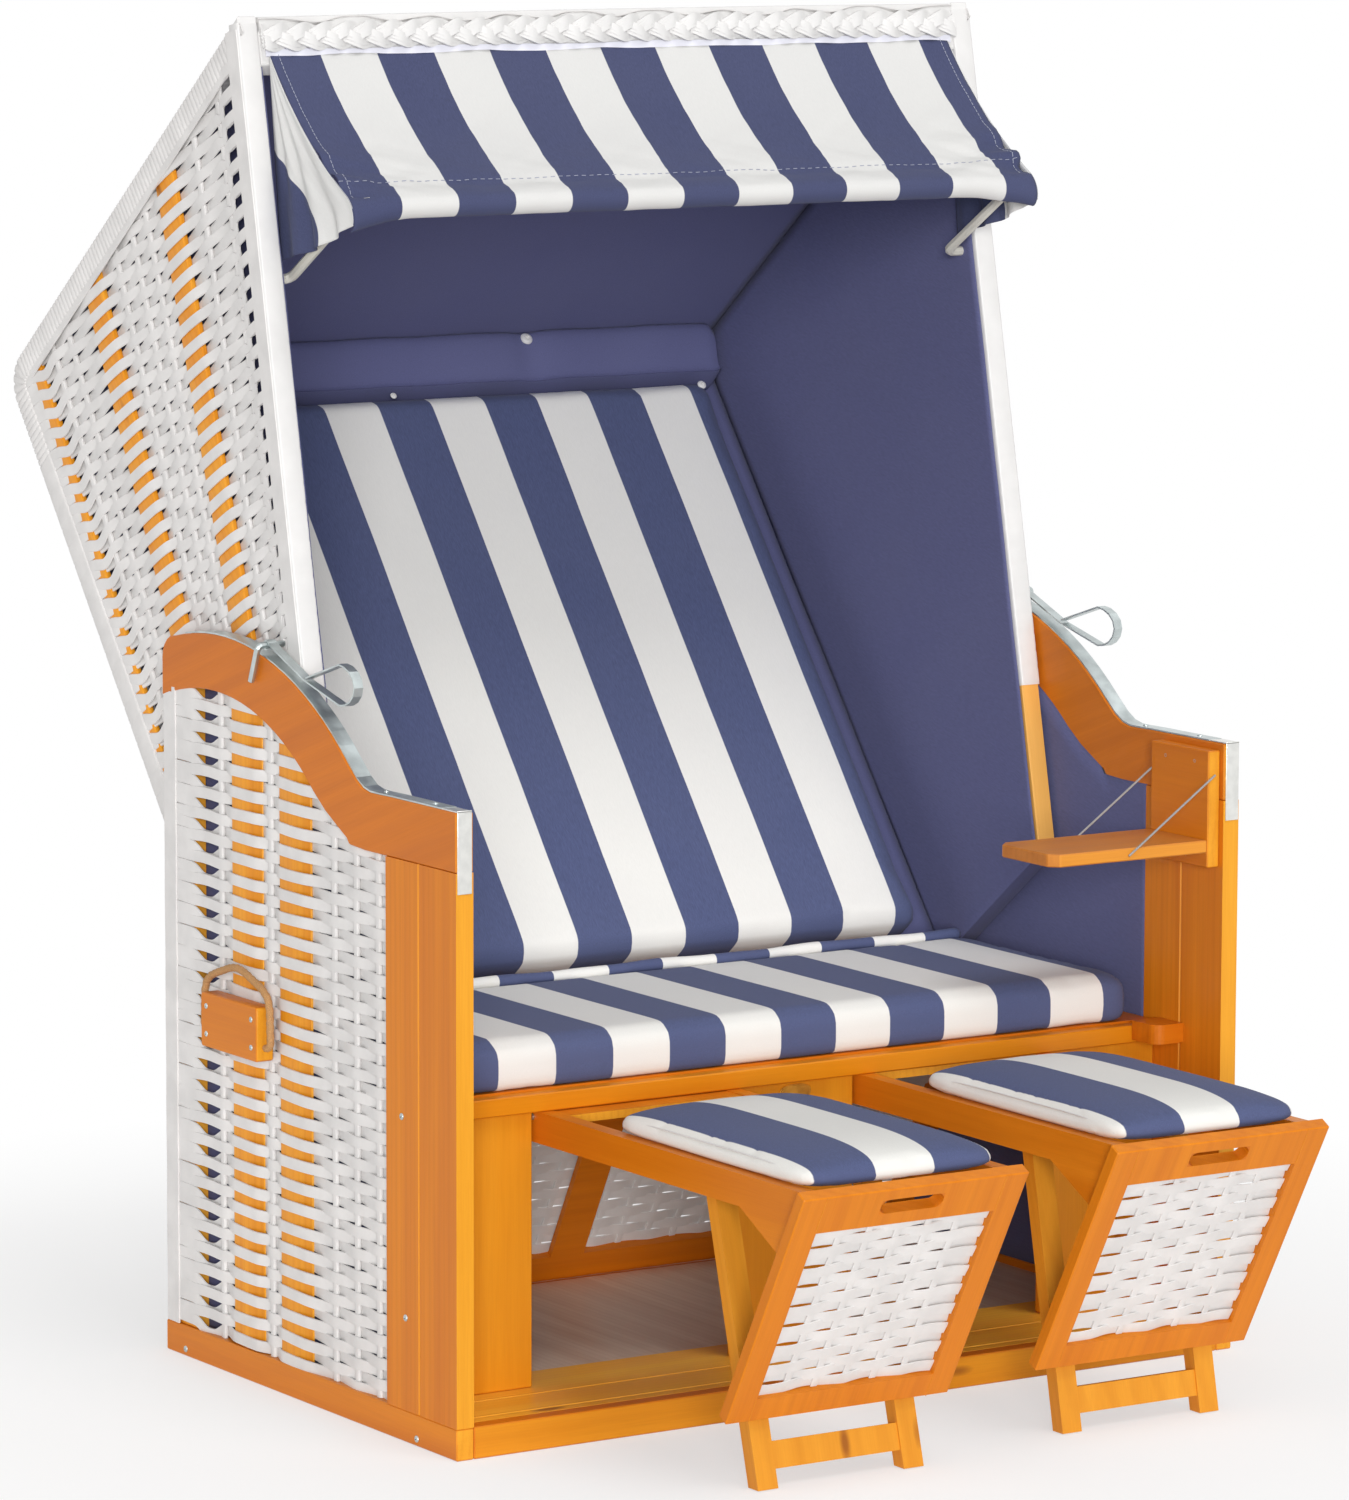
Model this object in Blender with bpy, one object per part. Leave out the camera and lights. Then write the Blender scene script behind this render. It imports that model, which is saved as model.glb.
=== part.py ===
"""Two-seat hooded beach chair: a boarded and woven base, a tilting woven hood with
a striped awning, two pull-out footrests, a folding side table and a rear flap.

Metres, +Z up, front of the chair towards -Y. Left and right in names are as seen
from the front, so right is +X. The origin is the centre of the base on the ground.
Outlines along X are written as (y, z) points.
"""
import math

import bmesh
import bpy
from mathutils import Matrix, Vector

# Clearances and shared stock
GAP = 0.0003                 # air between two solids that touch
OVERRUN = 0.004              # how far a cutter reaches past what it cuts
EDGE_ROUND = 0.0015          # broken edge of planed wood
GROOVE_WIDTH = 0.004         # V groove between two boards
GROOVE_DEPTH = 0.0025

# Base
BASE_WIDTH = 1.130
BASE_DEPTH = 0.705
SIDE_THICKNESS = 0.0235
HALF_WIDTH = BASE_WIDTH / 2
HALF_DEPTH = BASE_DEPTH / 2
WALL = HALF_WIDTH - SIDE_THICKNESS   # inner face of each side
BOTTOM_RAIL_HEIGHT = 0.038
ARM_HEIGHT = 0.7655
ARM_FRONT_DEPTH = 0.0705     # height of the arm rail over the boards
BOARDS_TOP = ARM_HEIGHT - ARM_FRONT_DEPTH
BOARD_WIDTH = 0.0855
BOARDS_DEPTH = 0.1608                # both upright boards together
BOARDS_REAR = BOARDS_DEPTH - HALF_DEPTH
WICKER_INSET = 0.0012

# Arm rail: two circles, joined to the level front by easy curves
ARM_TOP_RADIUS = 0.4822
ARM_TOP_INSET = 0.1364               # circle's centre in from the base's rear
ARM_TOP_DROP = 0.3349                # and below the level part's top
ARM_TOP_CENTRE = (HALF_DEPTH - ARM_TOP_INSET, ARM_HEIGHT - ARM_TOP_DROP)
ARM_TOP_AHEAD = 0.3176               # circle begins this far ahead of its centre
ARM_TOP_START = ARM_TOP_CENTRE[0] - ARM_TOP_AHEAD
ARM_TOP_EASE = 0.0985                # length of the easy curve before it
ARM_LEVEL_END = ARM_TOP_START - ARM_TOP_EASE
ARM_REAR_SET_BACK = 0.0326           # circle ends this far in from the rear
ARM_TOP_END = HALF_DEPTH - ARM_REAR_SET_BACK
ARM_LOW_RADIUS = 0.3849
ARM_LOW_INSET = 0.1215
ARM_LOW_DROP = 0.2361                # below the top of the boards
ARM_LOW_CENTRE = (HALF_DEPTH - ARM_LOW_INSET, BOARDS_TOP - ARM_LOW_DROP)
ARM_LOW_AHEAD = 0.2530
ARM_LOW_START = ARM_LOW_CENTRE[0] - ARM_LOW_AHEAD
ARM_LOW_EASE = 0.1200
ARM_LOW_LEVEL_END = ARM_LOW_START - ARM_LOW_EASE
ARM_REAR_ROUND = 0.030
ARM_CURVE_STEPS = 18
ARM_TOP_EASE_SHARE = 0.55            # of the way from the level part to the circle
ARM_LOW_EASE_SHARE = 0.45
ARM_REAR_START = math.radians(70)    # where the rounded rear corner begins
EASE_STEPS = 5

# Steel strip on the arm rail
STRIP_THICKNESS = 0.0018
STRIP_INSET = 0.0018
STRIP_END = 0.0345           # its ends, in from the base's front and rear
STRIP_FRONT = STRIP_END - HALF_DEPTH
STRIP_REAR = HALF_DEPTH - STRIP_END

# Lower front and floor
PANEL_SET_BACK = 0.1387              # behind the base's front
PANEL_FRONT = PANEL_SET_BACK - HALF_DEPTH
PANEL_THICKNESS = 0.021
PANEL_TOP = 0.375
CENTRE_PANEL_WIDTH = 0.1692
OPENING_WIDTH = 0.2919               # room for one footrest
OPENING_INNER = CENTRE_PANEL_WIDTH / 2
OPENING_OUTER = OPENING_INNER + OPENING_WIDTH
FRONT_RAIL_DEPTH = 0.022
DECK_TOP = 0.0386
DECK_THICKNESS = 0.020
DECK_DEPTH = 0.2125                  # from the base's front
DECK_REAR = DECK_DEPTH - HALF_DEPTH
DECK_GROOVE_SET_BACKS = (0.0405, 0.1105)
FLOOR_TOP = 0.028
FLOOR_THICKNESS = 0.018
REAR_RAIL_DEPTH = 0.030
REAR_RAIL_HEIGHT = 0.026

# Seat
SEAT_TOP = 0.400
SEAT_BOARD_THICKNESS = 0.016
SEAT_BOARD_SET_BACK = 0.1525         # in from the base's rear
SEAT_BOARD_REAR = HALF_DEPTH - SEAT_BOARD_SET_BACK
SEAT_RAIL_LIP = 0.0122               # past the front panels
SEAT_RAIL_FRONT = PANEL_FRONT - SEAT_RAIL_LIP
SEAT_RAIL_DEPTH = 0.020
SEAT_RAIL_HEIGHT = 0.0225
CORNER_BLOCK_WIDTH = 0.0435
CORNER_BLOCK_DEPTH = 0.050
CORNER_BLOCK_LOW = 0.380
CORNER_BLOCK_TOP = 0.4045
CORNER_BLOCK_ROUND = 0.014
SEAT_CUSHION_MARGIN = 0.0365         # to the inner face of the side
SEAT_CUSHION_HALF = WALL - SEAT_CUSHION_MARGIN
SEAT_CUSHION_SET_BACK = 0.0105       # behind the seat rail's front
SEAT_CUSHION_FRONT = SEAT_RAIL_FRONT + SEAT_CUSHION_SET_BACK
SEAT_CUSHION_REAR_GAP = 0.047        # to the seat board's rear edge
SEAT_CUSHION_REAR = SEAT_BOARD_REAR - SEAT_CUSHION_REAR_GAP
SEAT_CUSHION_FRONT_HEIGHT = 0.064
SEAT_CUSHION_REAR_HEIGHT = 0.050
CUSHION_DRAW_IN = 0.003              # middle of a cushion's side, in from its corners
CUSHION_CORNER = 0.012

# Carrying handles
HANDLE_WIDTH = 0.1395
HANDLE_SET_BACK = 0.1345             # in from the base's rear
HANDLE_REAR = HALF_DEPTH - HANDLE_SET_BACK
HANDLE_FRONT = HANDLE_REAR - HANDLE_WIDTH
HANDLE_LOW = 0.385
HANDLE_HEIGHT = 0.095
HANDLE_THICKNESS = 0.023
ROPE_RADIUS = 0.0048
ROPE_STAND_OFF = 0.0120      # rope centre from the side of the block
ROPE_STUB = 0.0055           # straight end of the rope outside the block
ROPE_SHOULDER_SHARE = 0.76   # height of the loop halfway to its crown
ROPE_FOOT_HEIGHT = 0.040     # above the block's lower edge
ROPE_RISE = 0.033            # top of the loop above the block

# Hood, drawn upright about its pivot and then leant back
HOOD_LEAN = math.radians(38.0)
PIVOT_SET_BACK = 0.1275              # in from the base's rear
PIVOT_Y = HALF_DEPTH - PIVOT_SET_BACK
PIVOT_Z = 0.445
HOOD_CLEARANCE = 0.0065              # to the inner face of the base's side
HOOD_HALF = WALL - HOOD_CLEARANCE
POST_WIDTH = 0.026
POST_DEPTH = 0.021
POST_LEAN = math.radians(26.64)      # forward of the hood's back
POST_FOOT = (0.2691, -0.0389)        # forward of the pivot, above the pivot
HOOD_HEIGHT = 0.948
HOOD_BACK = -0.0125
HOOD_WALL = 0.016
HOOD_LOW = -0.030
SHOULDER_RADIUS = 0.0425
SHOULDER_STEPS = 6
LINING_THICKNESS = 0.004
LINED_HALF = HOOD_HALF - POST_WIDTH - LINING_THICKNESS
TOP_RAIL_HEIGHT = 0.042
PIVOT_BOSS_RADIUS = 0.024
BACK_PANEL_LOW = -0.022

# Back cushion and the neck roll above it
BACK_CUSHION_MARGIN = 0.041          # to the lining at its side
BACK_CUSHION_HALF = LINED_HALF - BACK_CUSHION_MARGIN
BACK_CUSHION_LOW = -0.0150
BACK_CUSHION_DROP = 0.110            # its top below the hood's
BACK_CUSHION_TOP = HOOD_HEIGHT - BACK_CUSHION_DROP
BACK_CUSHION_THICKNESS = 0.0665
NECK_ROLL_MARGIN = 0.010
NECK_ROLL_HALF = LINED_HALF - NECK_ROLL_MARGIN
NECK_ROLL_DROP = 0.103
NECK_ROLL_LOW = HOOD_HEIGHT - NECK_ROLL_DROP
NECK_ROLL_REACH = 0.062
NECK_ROLL_HANG_SHARE = 0.40          # how far its face hangs plumb, of its reach
NECK_ROLL_FOOT_SHARE = 0.45

# Awning and its bow
BOW_RADIUS = 0.0062
BOW_MARGIN = 0.026                   # its arms to the inner face of the posts
BOW_HALF = HOOD_HALF - POST_WIDTH - BOW_MARGIN
BOW_PIVOT = (0.5960, 0.6774)
BOW_FRONT = (0.7856, 0.6573)
BOW_BEND = 0.022
BOW_BEND_STEPS = 4
BOW_LINING_HOLE = 0.009
AWNING_MARGIN = 0.012                # its edges to the inner face of the posts
AWNING_HALF = HOOD_HALF - POST_WIDTH - AWNING_MARGIN
AWNING_THICKNESS = 0.0020
AWNING_DROP = 0.0435                 # its seam on the rail below the hood's top
AWNING_TOP = HOOD_HEIGHT - AWNING_DROP
AWNING_SAG = 0.013
AWNING_ROLL_RADIUS = 0.0150
AWNING_ROLL_TURN = math.radians(150)
AWNING_GUSSET_FOOT = 0.052           # above the bow's pivot, along the post
AWNING_GUSSET_START = 0.012
AWNING_GUSSET_WAVE = 0.0028
AWNING_ROWS = 9
AWNING_ROLL_ROWS = 8
AWNING_COLUMNS = 14
AWNING_GUSSET_COLUMNS = 6

# Locks: a hooked rod on the hood and a looped lever over the arm rail
LOCK_ROD_AHEAD = 0.125               # of the hood's pivot
LOCK_ROD_Y = PIVOT_Y - LOCK_ROD_AHEAD
LOCK_ROD_RISE = 0.1473               # over the level part of the arm rail
LOCK_ROD_Z = ARM_HEIGHT + LOCK_ROD_RISE
LOCK_ROD_RADIUS = 0.0040
LOCK_HOOK_STAND_OFF = 0.0055
LOCK_HOOK_DROP = 0.0455
LOCK_HOOK_SLOPE = 0.018
LEVER_WIDTH = 0.012
LEVER_THICKNESS = 0.0022
LEVER_NECK = (-0.0933, -0.0333)      # places on the lever, from the rod's axis
LEVER_LOOP_LOW = (-0.1760, -0.0538)
LEVER_LOOP_TIP = (-0.2110, -0.0293)
LEVER_LOOP_HIGH = (-0.1745, -0.0053)
LEVER_EYE_START = math.radians(60)   # round the rod, from the way to the neck
LEVER_EYE_END = math.radians(325)
LEVER_NOSE_SHARES = (0.7, 0.6)       # pull of the loop's curve, of half its height
LEVER_BACK_RISE = 0.0035             # its upper strand over the neck
LEVER_MITRE_SHARE = 0.6              # least turn for which a corner is widened
LEVER_EYE_STEPS = 9
LEVER_LOOP_STEPS = 8

# Side table on the right-hand wall
TABLE_REACH = 0.2350
TABLE_SET_BACK = 0.0075              # behind the base's front
TABLE_DEPTH = 0.119
TABLE_FRONT = TABLE_SET_BACK - HALF_DEPTH
TABLE_REAR = TABLE_FRONT + TABLE_DEPTH
TABLE_THICKNESS = 0.016
TABLE_CHAMFER = 0.012
TABLE_HINGE_GAP = 0.0006
TABLE_BRACKET_DEPTH = 0.018
TABLE_BRACKET_HEIGHT = 0.146
TABLE_BRACKET_DROP = 0.0085          # its top below the arm rail's
TABLE_BRACKET_LOW = ARM_HEIGHT - TABLE_BRACKET_DROP - TABLE_BRACKET_HEIGHT
TABLE_HINGE_RISE = 0.035             # over the bracket's lower edge
TABLE_TOP_Z = TABLE_BRACKET_LOW + TABLE_HINGE_RISE
TABLE_CORD_RADIUS = 0.0014
TABLE_CORD_DOWN = 0.030              # its upper eye below the bracket's top
TABLE_CORD_REACH = 0.1215            # its lower eye from the bracket's face
TABLE_CORD_EYE_SHARE = 0.4           # of the table's thickness, from its underside
TABLE_CORD_STEPS = 8

# Rear flap
FLAP_HINGE_SET_BACK = 0.014          # in from the base's rear
FLAP_HINGE_Y = HALF_DEPTH - FLAP_HINGE_SET_BACK
FLAP_THICKNESS = 0.016
FLAP_LEAN = math.radians(28.0)
FLAP_LENGTH = 0.372
FLAP_CLEARANCE = 0.0055              # to the inner face of the side
FLAP_HALF = WALL - FLAP_CLEARANCE
FLAP_FRAME_WIDTH = 0.036
FLAP_STILE = 0.050
FLAP_WEAVE_DEPTH = 0.008
FLAP_ROUND_STEPS = 6

# Footrests
FOOTREST_CENTRE = 0.5 * (OPENING_INNER + OPENING_OUTER)
PIN_DROP = 0.0077                    # under the top of the front panels
PIN_BEHIND = 0.0043                  # the panels' front, with the footrest right out
PIN_OUT = (PANEL_FRONT + PIN_BEHIND, PANEL_TOP - PIN_DROP)
PUSHED_IN = {"left": 0.0, "right": 0.036}
PIN_RADIUS = 0.004
FRAME_CLEARANCE = 0.00295            # each side of it in its opening
FRAME_WIDTH = OPENING_WIDTH - 2 * FRAME_CLEARANCE
FRAME_BAR = 0.020
FRAME_TOP = PIN_DROP                 # rails level with the top of the panels
FRAME_LOW = -0.0303
FRAME_REAR = -0.010
CROSSBAR_START = 0.008
CROSSBAR_END = 0.048
CROSSBAR_HEIGHT = 0.0100
CROSSBAR_DROP = 0.0008               # below the top of the rails
GUSSET_START = 0.450
GUSSET_FOOT = 0.062                  # along the panel below the rails
FOOT_PANEL_LIP = 0.012               # past the frame on each side
FOOT_PANEL_WIDTH = FRAME_WIDTH + 2 * FOOT_PANEL_LIP
FOOT_PANEL_LENGTH = 0.331
FOOT_PANEL_THICKNESS = 0.017
FOOT_PANEL_LEAN = math.radians(29.0)
FOOT_PANEL_TOP = (0.6016, 0.0035)
WINDOW_STILE = 0.0325                # panel left on each side of the window
WINDOW_WIDTH = FOOT_PANEL_WIDTH - 2 * WINDOW_STILE
WINDOW_TOP = 0.052
WINDOW_LOW = 0.297
WEAVE_THICKNESS = 0.008
SLOT_WIDTH = 0.086
SLOT_HEIGHT = 0.020
SLOT_DOWN = 0.025
FOOT_CUSHION_INSET = 0.011           # from the outer face of the frame
FOOT_CUSHION_HALF = FRAME_WIDTH / 2 - FOOT_CUSHION_INSET
FOOT_CUSHION_REAR = 0.140
FOOT_CUSHION_FRONT = 0.578
FOOT_CUSHION_HEIGHT = 0.036
LEG_CLEARANCE = 0.0075               # to the inner face of each rail
LEG_FRAME_WIDTH = FRAME_WIDTH - 2 * FRAME_BAR - 2 * LEG_CLEARANCE
LEG_WIDTH = 0.028
LEG_DEPTH = 0.020
LEG_PIVOT_FORWARD = {"left": 0.3425, "right": 0.3612}
LEG_PIVOT_UP = -0.0167
LEG_EYE_RADIUS = 0.010
LEG_BOSS_RADIUS = 0.007
LEG_BAR_LOW = 0.019
LEG_BAR_HIGH = 0.050
LEG_BAR_DEPTH = 0.016
FOOT_CLEARANCE = 0.0008
FOOT_AHEAD = {"left": 0.4398, "right": 0.4333}      # of the rear pin

SIDES = {"left": -1, "right": 1}


def clear_scene():
    """Remove whatever the scene holds."""
    for item in list(bpy.data.objects):
        bpy.data.objects.remove(item, do_unlink=True)


def make_material(name, colour, roughness, metallic=0.0):
    """A plain principled material."""
    material = bpy.data.materials.new(name)
    material.use_nodes = True
    shader = material.node_tree.nodes["Principled BSDF"]
    shader.inputs["Base Color"].default_value = (*colour, 1.0)
    shader.inputs["Roughness"].default_value = roughness
    shader.inputs["Metallic"].default_value = metallic
    material.diffuse_color = (*colour, 1.0)
    return material


def add_object(name, data, material, parent=None):
    """Link an object whose data is in world places, and hang it on its parent."""
    thing = bpy.data.objects.new(name, data)
    bpy.context.scene.collection.objects.link(thing)
    data.materials.append(material)
    if parent is not None:
        hang(thing, parent)
    return thing


def hang(thing, parent):
    """Parent an object and keep its place in the world."""
    bpy.context.view_layer.update()
    thing.parent = parent
    thing.matrix_parent_inverse = parent.matrix_world.inverted()


def add_axis(name, place, parent=None):
    """An empty on a joint's axis."""
    empty = bpy.data.objects.new(name, None)
    bpy.context.scene.collection.objects.link(empty)
    empty.location = place
    if parent is not None:
        hang(empty, parent)
    bpy.context.view_layer.update()
    return empty


def face_out(mesh):
    """Point every face of a closed mesh outwards."""
    shape = bmesh.new()
    shape.from_mesh(mesh)
    bmesh.ops.recalc_face_normals(shape, faces=shape.faces)
    shape.to_mesh(mesh)
    shape.free()


def extrude(name, outline, low, high, material, parent=None, axis="X", rounded=True):
    """A solid with one flat outline, drawn across an axis and pulled along it."""
    places = {
        "X": lambda a, b, t: (t, a, b),
        "Y": lambda a, b, t: (a, t, b),
        "Z": lambda a, b, t: (a, b, t),
    }
    place = places[axis]
    count = len(outline)
    points = [place(a, b, low) for a, b in outline]
    points += [place(a, b, high) for a, b in outline]
    faces = [tuple(range(count)), tuple(range(2 * count - 1, count - 1, -1))]
    for i in range(count):
        j = (i + 1) % count
        faces.append((i, j, count + j, count + i))
    mesh = bpy.data.meshes.new(name)
    mesh.from_pydata(points, [], faces)
    face_out(mesh)
    solid = add_object(name, mesh, material, parent)
    if rounded:
        bevel = solid.modifiers.new("broken edge", "BEVEL")
        bevel.width = EDGE_ROUND
        bevel.segments = 1
        bevel.limit_method = "ANGLE"
        bevel.angle_limit = math.radians(40)
    return solid


def block(name, x, y, z, material, parent=None, rounded=True):
    """A straight block between two places on each axis."""
    outline = [(y[0], z[0]), (y[1], z[0]), (y[1], z[1]), (y[0], z[1])]
    return extrude(name, outline, x[0], x[1], material, parent, rounded=rounded)


def cut(solid, cutter):
    """Take a cutter out of a solid."""
    cutter.hide_render = True
    cutter.display_type = "WIRE"
    step = solid.modifiers.new("cut " + cutter.name, "BOOLEAN")
    step.operation = "DIFFERENCE"
    step.solver = "EXACT"
    step.object = cutter


def join(solid, other):
    """Fuse a second shape into a solid."""
    other.hide_render = True
    other.display_type = "WIRE"
    step = solid.modifiers.new("join " + other.name, "BOOLEAN")
    step.operation = "UNION"
    step.solver = "EXACT"
    step.object = other


def tube(name, points, radius, material, parent=None, sides=2):
    """A rod or rope along points, with closed ends."""
    curve = bpy.data.curves.new(name, "CURVE")
    curve.dimensions = "3D"
    curve.bevel_depth = radius
    curve.bevel_resolution = sides
    curve.use_fill_caps = True
    spline = curve.splines.new("POLY")
    spline.points.add(len(points) - 1)
    for knot, point in zip(spline.points, points):
        knot.co = (*point, 1.0)
    return add_object(name, curve, material, parent)


def cylinder_x(name, centre, radius, low, high, material, parent=None, steps=24):
    """A round bar along X."""
    ring = [(centre[0] + radius * math.cos(2 * math.pi * i / steps),
             centre[1] + radius * math.sin(2 * math.pi * i / steps))
            for i in range(steps)]
    bar = extrude(name, ring, low, high, material, parent, rounded=False)
    bar.data.shade_smooth()
    bar.data.set_sharp_from_angle(angle=math.radians(40))
    return bar


def arc(centre, radius, start, end, steps):
    """Points on a circle, angles in radians from +first axis."""
    points = []
    for i in range(steps + 1):
        angle = start + (end - start) * i / steps
        points.append((centre[0] + radius * math.cos(angle),
                       centre[1] + radius * math.sin(angle)))
    return points


def ease(start, start_way, end, end_way, steps):
    """Points of a cubic curve between two places, leaving out both ends."""
    points = []
    for i in range(1, steps):
        t = i / steps
        a = (1 - t) ** 3
        b = 3 * t * (1 - t) ** 2
        c = 3 * t * t * (1 - t)
        d = t ** 3
        points.append((a * start[0] + b * start_way[0] + c * end_way[0] + d * end[0],
                       a * start[1] + b * start_way[1] + c * end_way[1] + d * end[1]))
    return points


def smooth(points, steps):
    """A rounded path through points in space."""
    path = []
    ends = [points[0]] + list(points) + [points[-1]]
    for i in range(1, len(ends) - 2):
        p0, p1, p2, p3 = (Vector(ends[i + k]) for k in (-1, 0, 1, 2))
        for k in range(steps):
            t = k / steps
            path.append(0.5 * (2 * p1 + (p2 - p0) * t
                               + (2 * p0 - 5 * p1 + 4 * p2 - p3) * t * t
                               + (3 * p1 - p0 - 3 * p2 + p3) * t ** 3))
    path.append(Vector(points[-1]))
    return [tuple(p) for p in path]


def rounded_turn(corner, before, after, radius, steps):
    """Points that turn a corner of a path in space with a radius."""
    corner, before, after = Vector(corner), Vector(before), Vector(after)
    way_in = (before - corner).normalized()
    way_out = (after - corner).normalized()
    points = []
    for i in range(steps + 1):
        t = i / steps
        start = corner + way_in * radius
        end = corner + way_out * radius
        points.append(tuple((1 - t) ** 2 * start + 2 * t * (1 - t) * corner
                            + t ** 2 * end))
    return points


def pillow(name, half, low, high, height, place, material, parent, columns, rows,
           draw_in, corner):
    """A crowned cushion on a flat underside, its sides drawn in between corners.

    half is half its width, low and high its ends, height a function of the share
    along it, and place turns (across, along, up) into the world.
    """
    shape = bmesh.new()
    grid = []
    for j in range(rows + 1):
        b = -math.cos(math.pi * j / rows)
        line = []
        for i in range(columns + 1):
            a = -math.cos(math.pi * i / columns)
            middle = (low + high) / 2
            reach = (high - low) / 2
            across = a * (half - draw_in * (1 - b * b))
            along = middle + b * (reach - draw_in * (1 - a * a))
            rim = max(0.0, abs(a) + abs(b) - 1)
            pull = corner * rim ** 6
            across -= pull * a
            along -= pull * b
            crown = ((1 - abs(a) ** 5) * (1 - abs(b) ** 5)) ** 0.42
            up = height((b + 1) / 2) * crown
            line.append(shape.verts.new(place(across, along, up)))
        grid.append(line)
    for j in range(rows):
        for i in range(columns):
            shape.faces.new((grid[j][i], grid[j][i + 1],
                             grid[j + 1][i + 1], grid[j + 1][i]))
    rim_loop = grid[0][:-1] + [line[-1] for line in grid[:-1]]
    rim_loop += grid[-1][:0:-1] + [line[0] for line in grid[:0:-1]]
    shape.faces.new(rim_loop)
    bmesh.ops.recalc_face_normals(shape, faces=shape.faces)
    mesh = bpy.data.meshes.new(name)
    shape.to_mesh(mesh)
    shape.free()
    mesh.shade_smooth()
    mesh.set_sharp_from_angle(angle=math.radians(60))
    return add_object(name, mesh, material, parent)


def thin_sheet(name, grids, thickness, material, parent):
    """Cloth from grids of points that share edges, given a thickness."""
    shape = bmesh.new()
    for grid in grids:
        knots = [[shape.verts.new(point) for point in line] for line in grid]
        for j in range(len(knots) - 1):
            for i in range(len(knots[j]) - 1):
                shape.faces.new((knots[j][i], knots[j][i + 1],
                                 knots[j + 1][i + 1], knots[j + 1][i]))
    bmesh.ops.remove_doubles(shape, verts=shape.verts, dist=GAP)
    bmesh.ops.recalc_face_normals(shape, faces=shape.faces)
    mesh = bpy.data.meshes.new(name)
    shape.to_mesh(mesh)
    shape.free()
    mesh.shade_smooth()
    mesh.set_sharp_from_angle(angle=math.radians(60))
    sheet = add_object(name, mesh, material, parent)
    skin = sheet.modifiers.new("thickness", "SOLIDIFY")
    skin.thickness = thickness
    skin.offset = 0
    skin.use_even_offset = False
    return sheet


def arm_top(lift):
    """Upper edge of the arm rail from front to back, raised by lift."""
    centre = ARM_TOP_CENTRE
    radius = ARM_TOP_RADIUS + lift
    start = math.acos((ARM_TOP_START - centre[0]) / radius)
    end = math.acos((ARM_TOP_END - centre[0]) / radius)
    round_part = arc(centre, radius, start, end, ARM_CURVE_STEPS)
    level = (ARM_LEVEL_END, ARM_HEIGHT + lift)
    first = round_part[0]
    reach = (first[0] - level[0]) * ARM_TOP_EASE_SHARE
    slope = (math.sin(start), -math.cos(start))
    before = (first[0] - slope[0] * reach, first[1] - slope[1] * reach)
    return level, ease(level, (level[0] + reach, level[1]), first, before,
                       EASE_STEPS) + round_part


def arm_low(drop, rear):
    """Lower edge of the arm rail from a rear place to the front, lowered by drop."""
    centre = ARM_LOW_CENTRE
    radius = ARM_LOW_RADIUS - drop
    start = math.acos((rear - centre[0]) / radius)
    end = math.acos((ARM_LOW_START - centre[0]) / radius)
    round_part = arc(centre, radius, start, end, ARM_CURVE_STEPS)
    level = (ARM_LOW_LEVEL_END, BOARDS_TOP - drop)
    last = round_part[-1]
    reach = (last[0] - level[0]) * ARM_LOW_EASE_SHARE
    slope = (-math.sin(end), math.cos(end))
    after = (last[0] + slope[0] * reach, last[1] + slope[1] * reach)
    return round_part + ease(last, after, (level[0] + reach, level[1]), level,
                             EASE_STEPS) + [level]


def arm_rail_outline():
    """Side view of the arm rail."""
    level, upper = arm_top(0)
    rear_end = upper[-1]
    corner = arc((HALF_DEPTH - ARM_REAR_ROUND, rear_end[1] - ARM_REAR_ROUND),
                 ARM_REAR_ROUND, ARM_REAR_START, 0, 4)
    outline = [(-HALF_DEPTH, BOARDS_TOP), (-HALF_DEPTH, ARM_HEIGHT), level]
    return outline + upper + corner + arm_low(0, HALF_DEPTH)


def strip_outline_on_arm():
    """Side view of the steel strip that lies on the arm rail."""
    lines = []
    for lift in (GAP, GAP + STRIP_THICKNESS):
        level, upper = arm_top(lift)
        points = [(STRIP_FRONT, level[1]), level]
        points += [p for p in upper if p[0] < STRIP_REAR]
        lines.append(points)
    return lines[0] + lines[1][::-1]


def side_wicker_outline():
    """Side view of the woven part of the wall, under the arm rail."""
    front = BOARDS_REAR + GAP
    rear = HALF_DEPTH - WICKER_INSET
    low = BOTTOM_RAIL_HEIGHT + GAP
    upper = arm_low(GAP, rear)
    return [(front, low), (rear, low)] + upper + [(front, upper[-1][1])]


def spans(side, inner, outer):
    """Lower and upper place along X of a piece on one side."""
    ends = sorted((side * inner, side * outer))
    return ends[0], ends[1]


def build_sides(paint):
    """Both side walls: bottom rail, boards, woven part, arm rail and its strip."""
    for word, side in SIDES.items():
        x = spans(side, WALL, HALF_WIDTH)
        block("bottom_rail_" + word, x, (-HALF_DEPTH, HALF_DEPTH),
              (0, BOTTOM_RAIL_HEIGHT), paint["wood"])
        extrude("arm_rail_" + word, arm_rail_outline(), x[0], x[1], paint["wood"])
        x_strip = spans(side, WALL + STRIP_INSET, HALF_WIDTH - STRIP_INSET)
        extrude("rail_strip_" + word, strip_outline_on_arm(), x_strip[0], x_strip[1],
                paint["steel"], rounded=False)
        build_side_boards(word, x, paint)
        x_wicker = spans(side, WALL + WICKER_INSET, HALF_WIDTH - WICKER_INSET)
        extrude("side_wicker_" + word, side_wicker_outline(), x_wicker[0],
                x_wicker[1], paint["wicker"], rounded=False)


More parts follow.
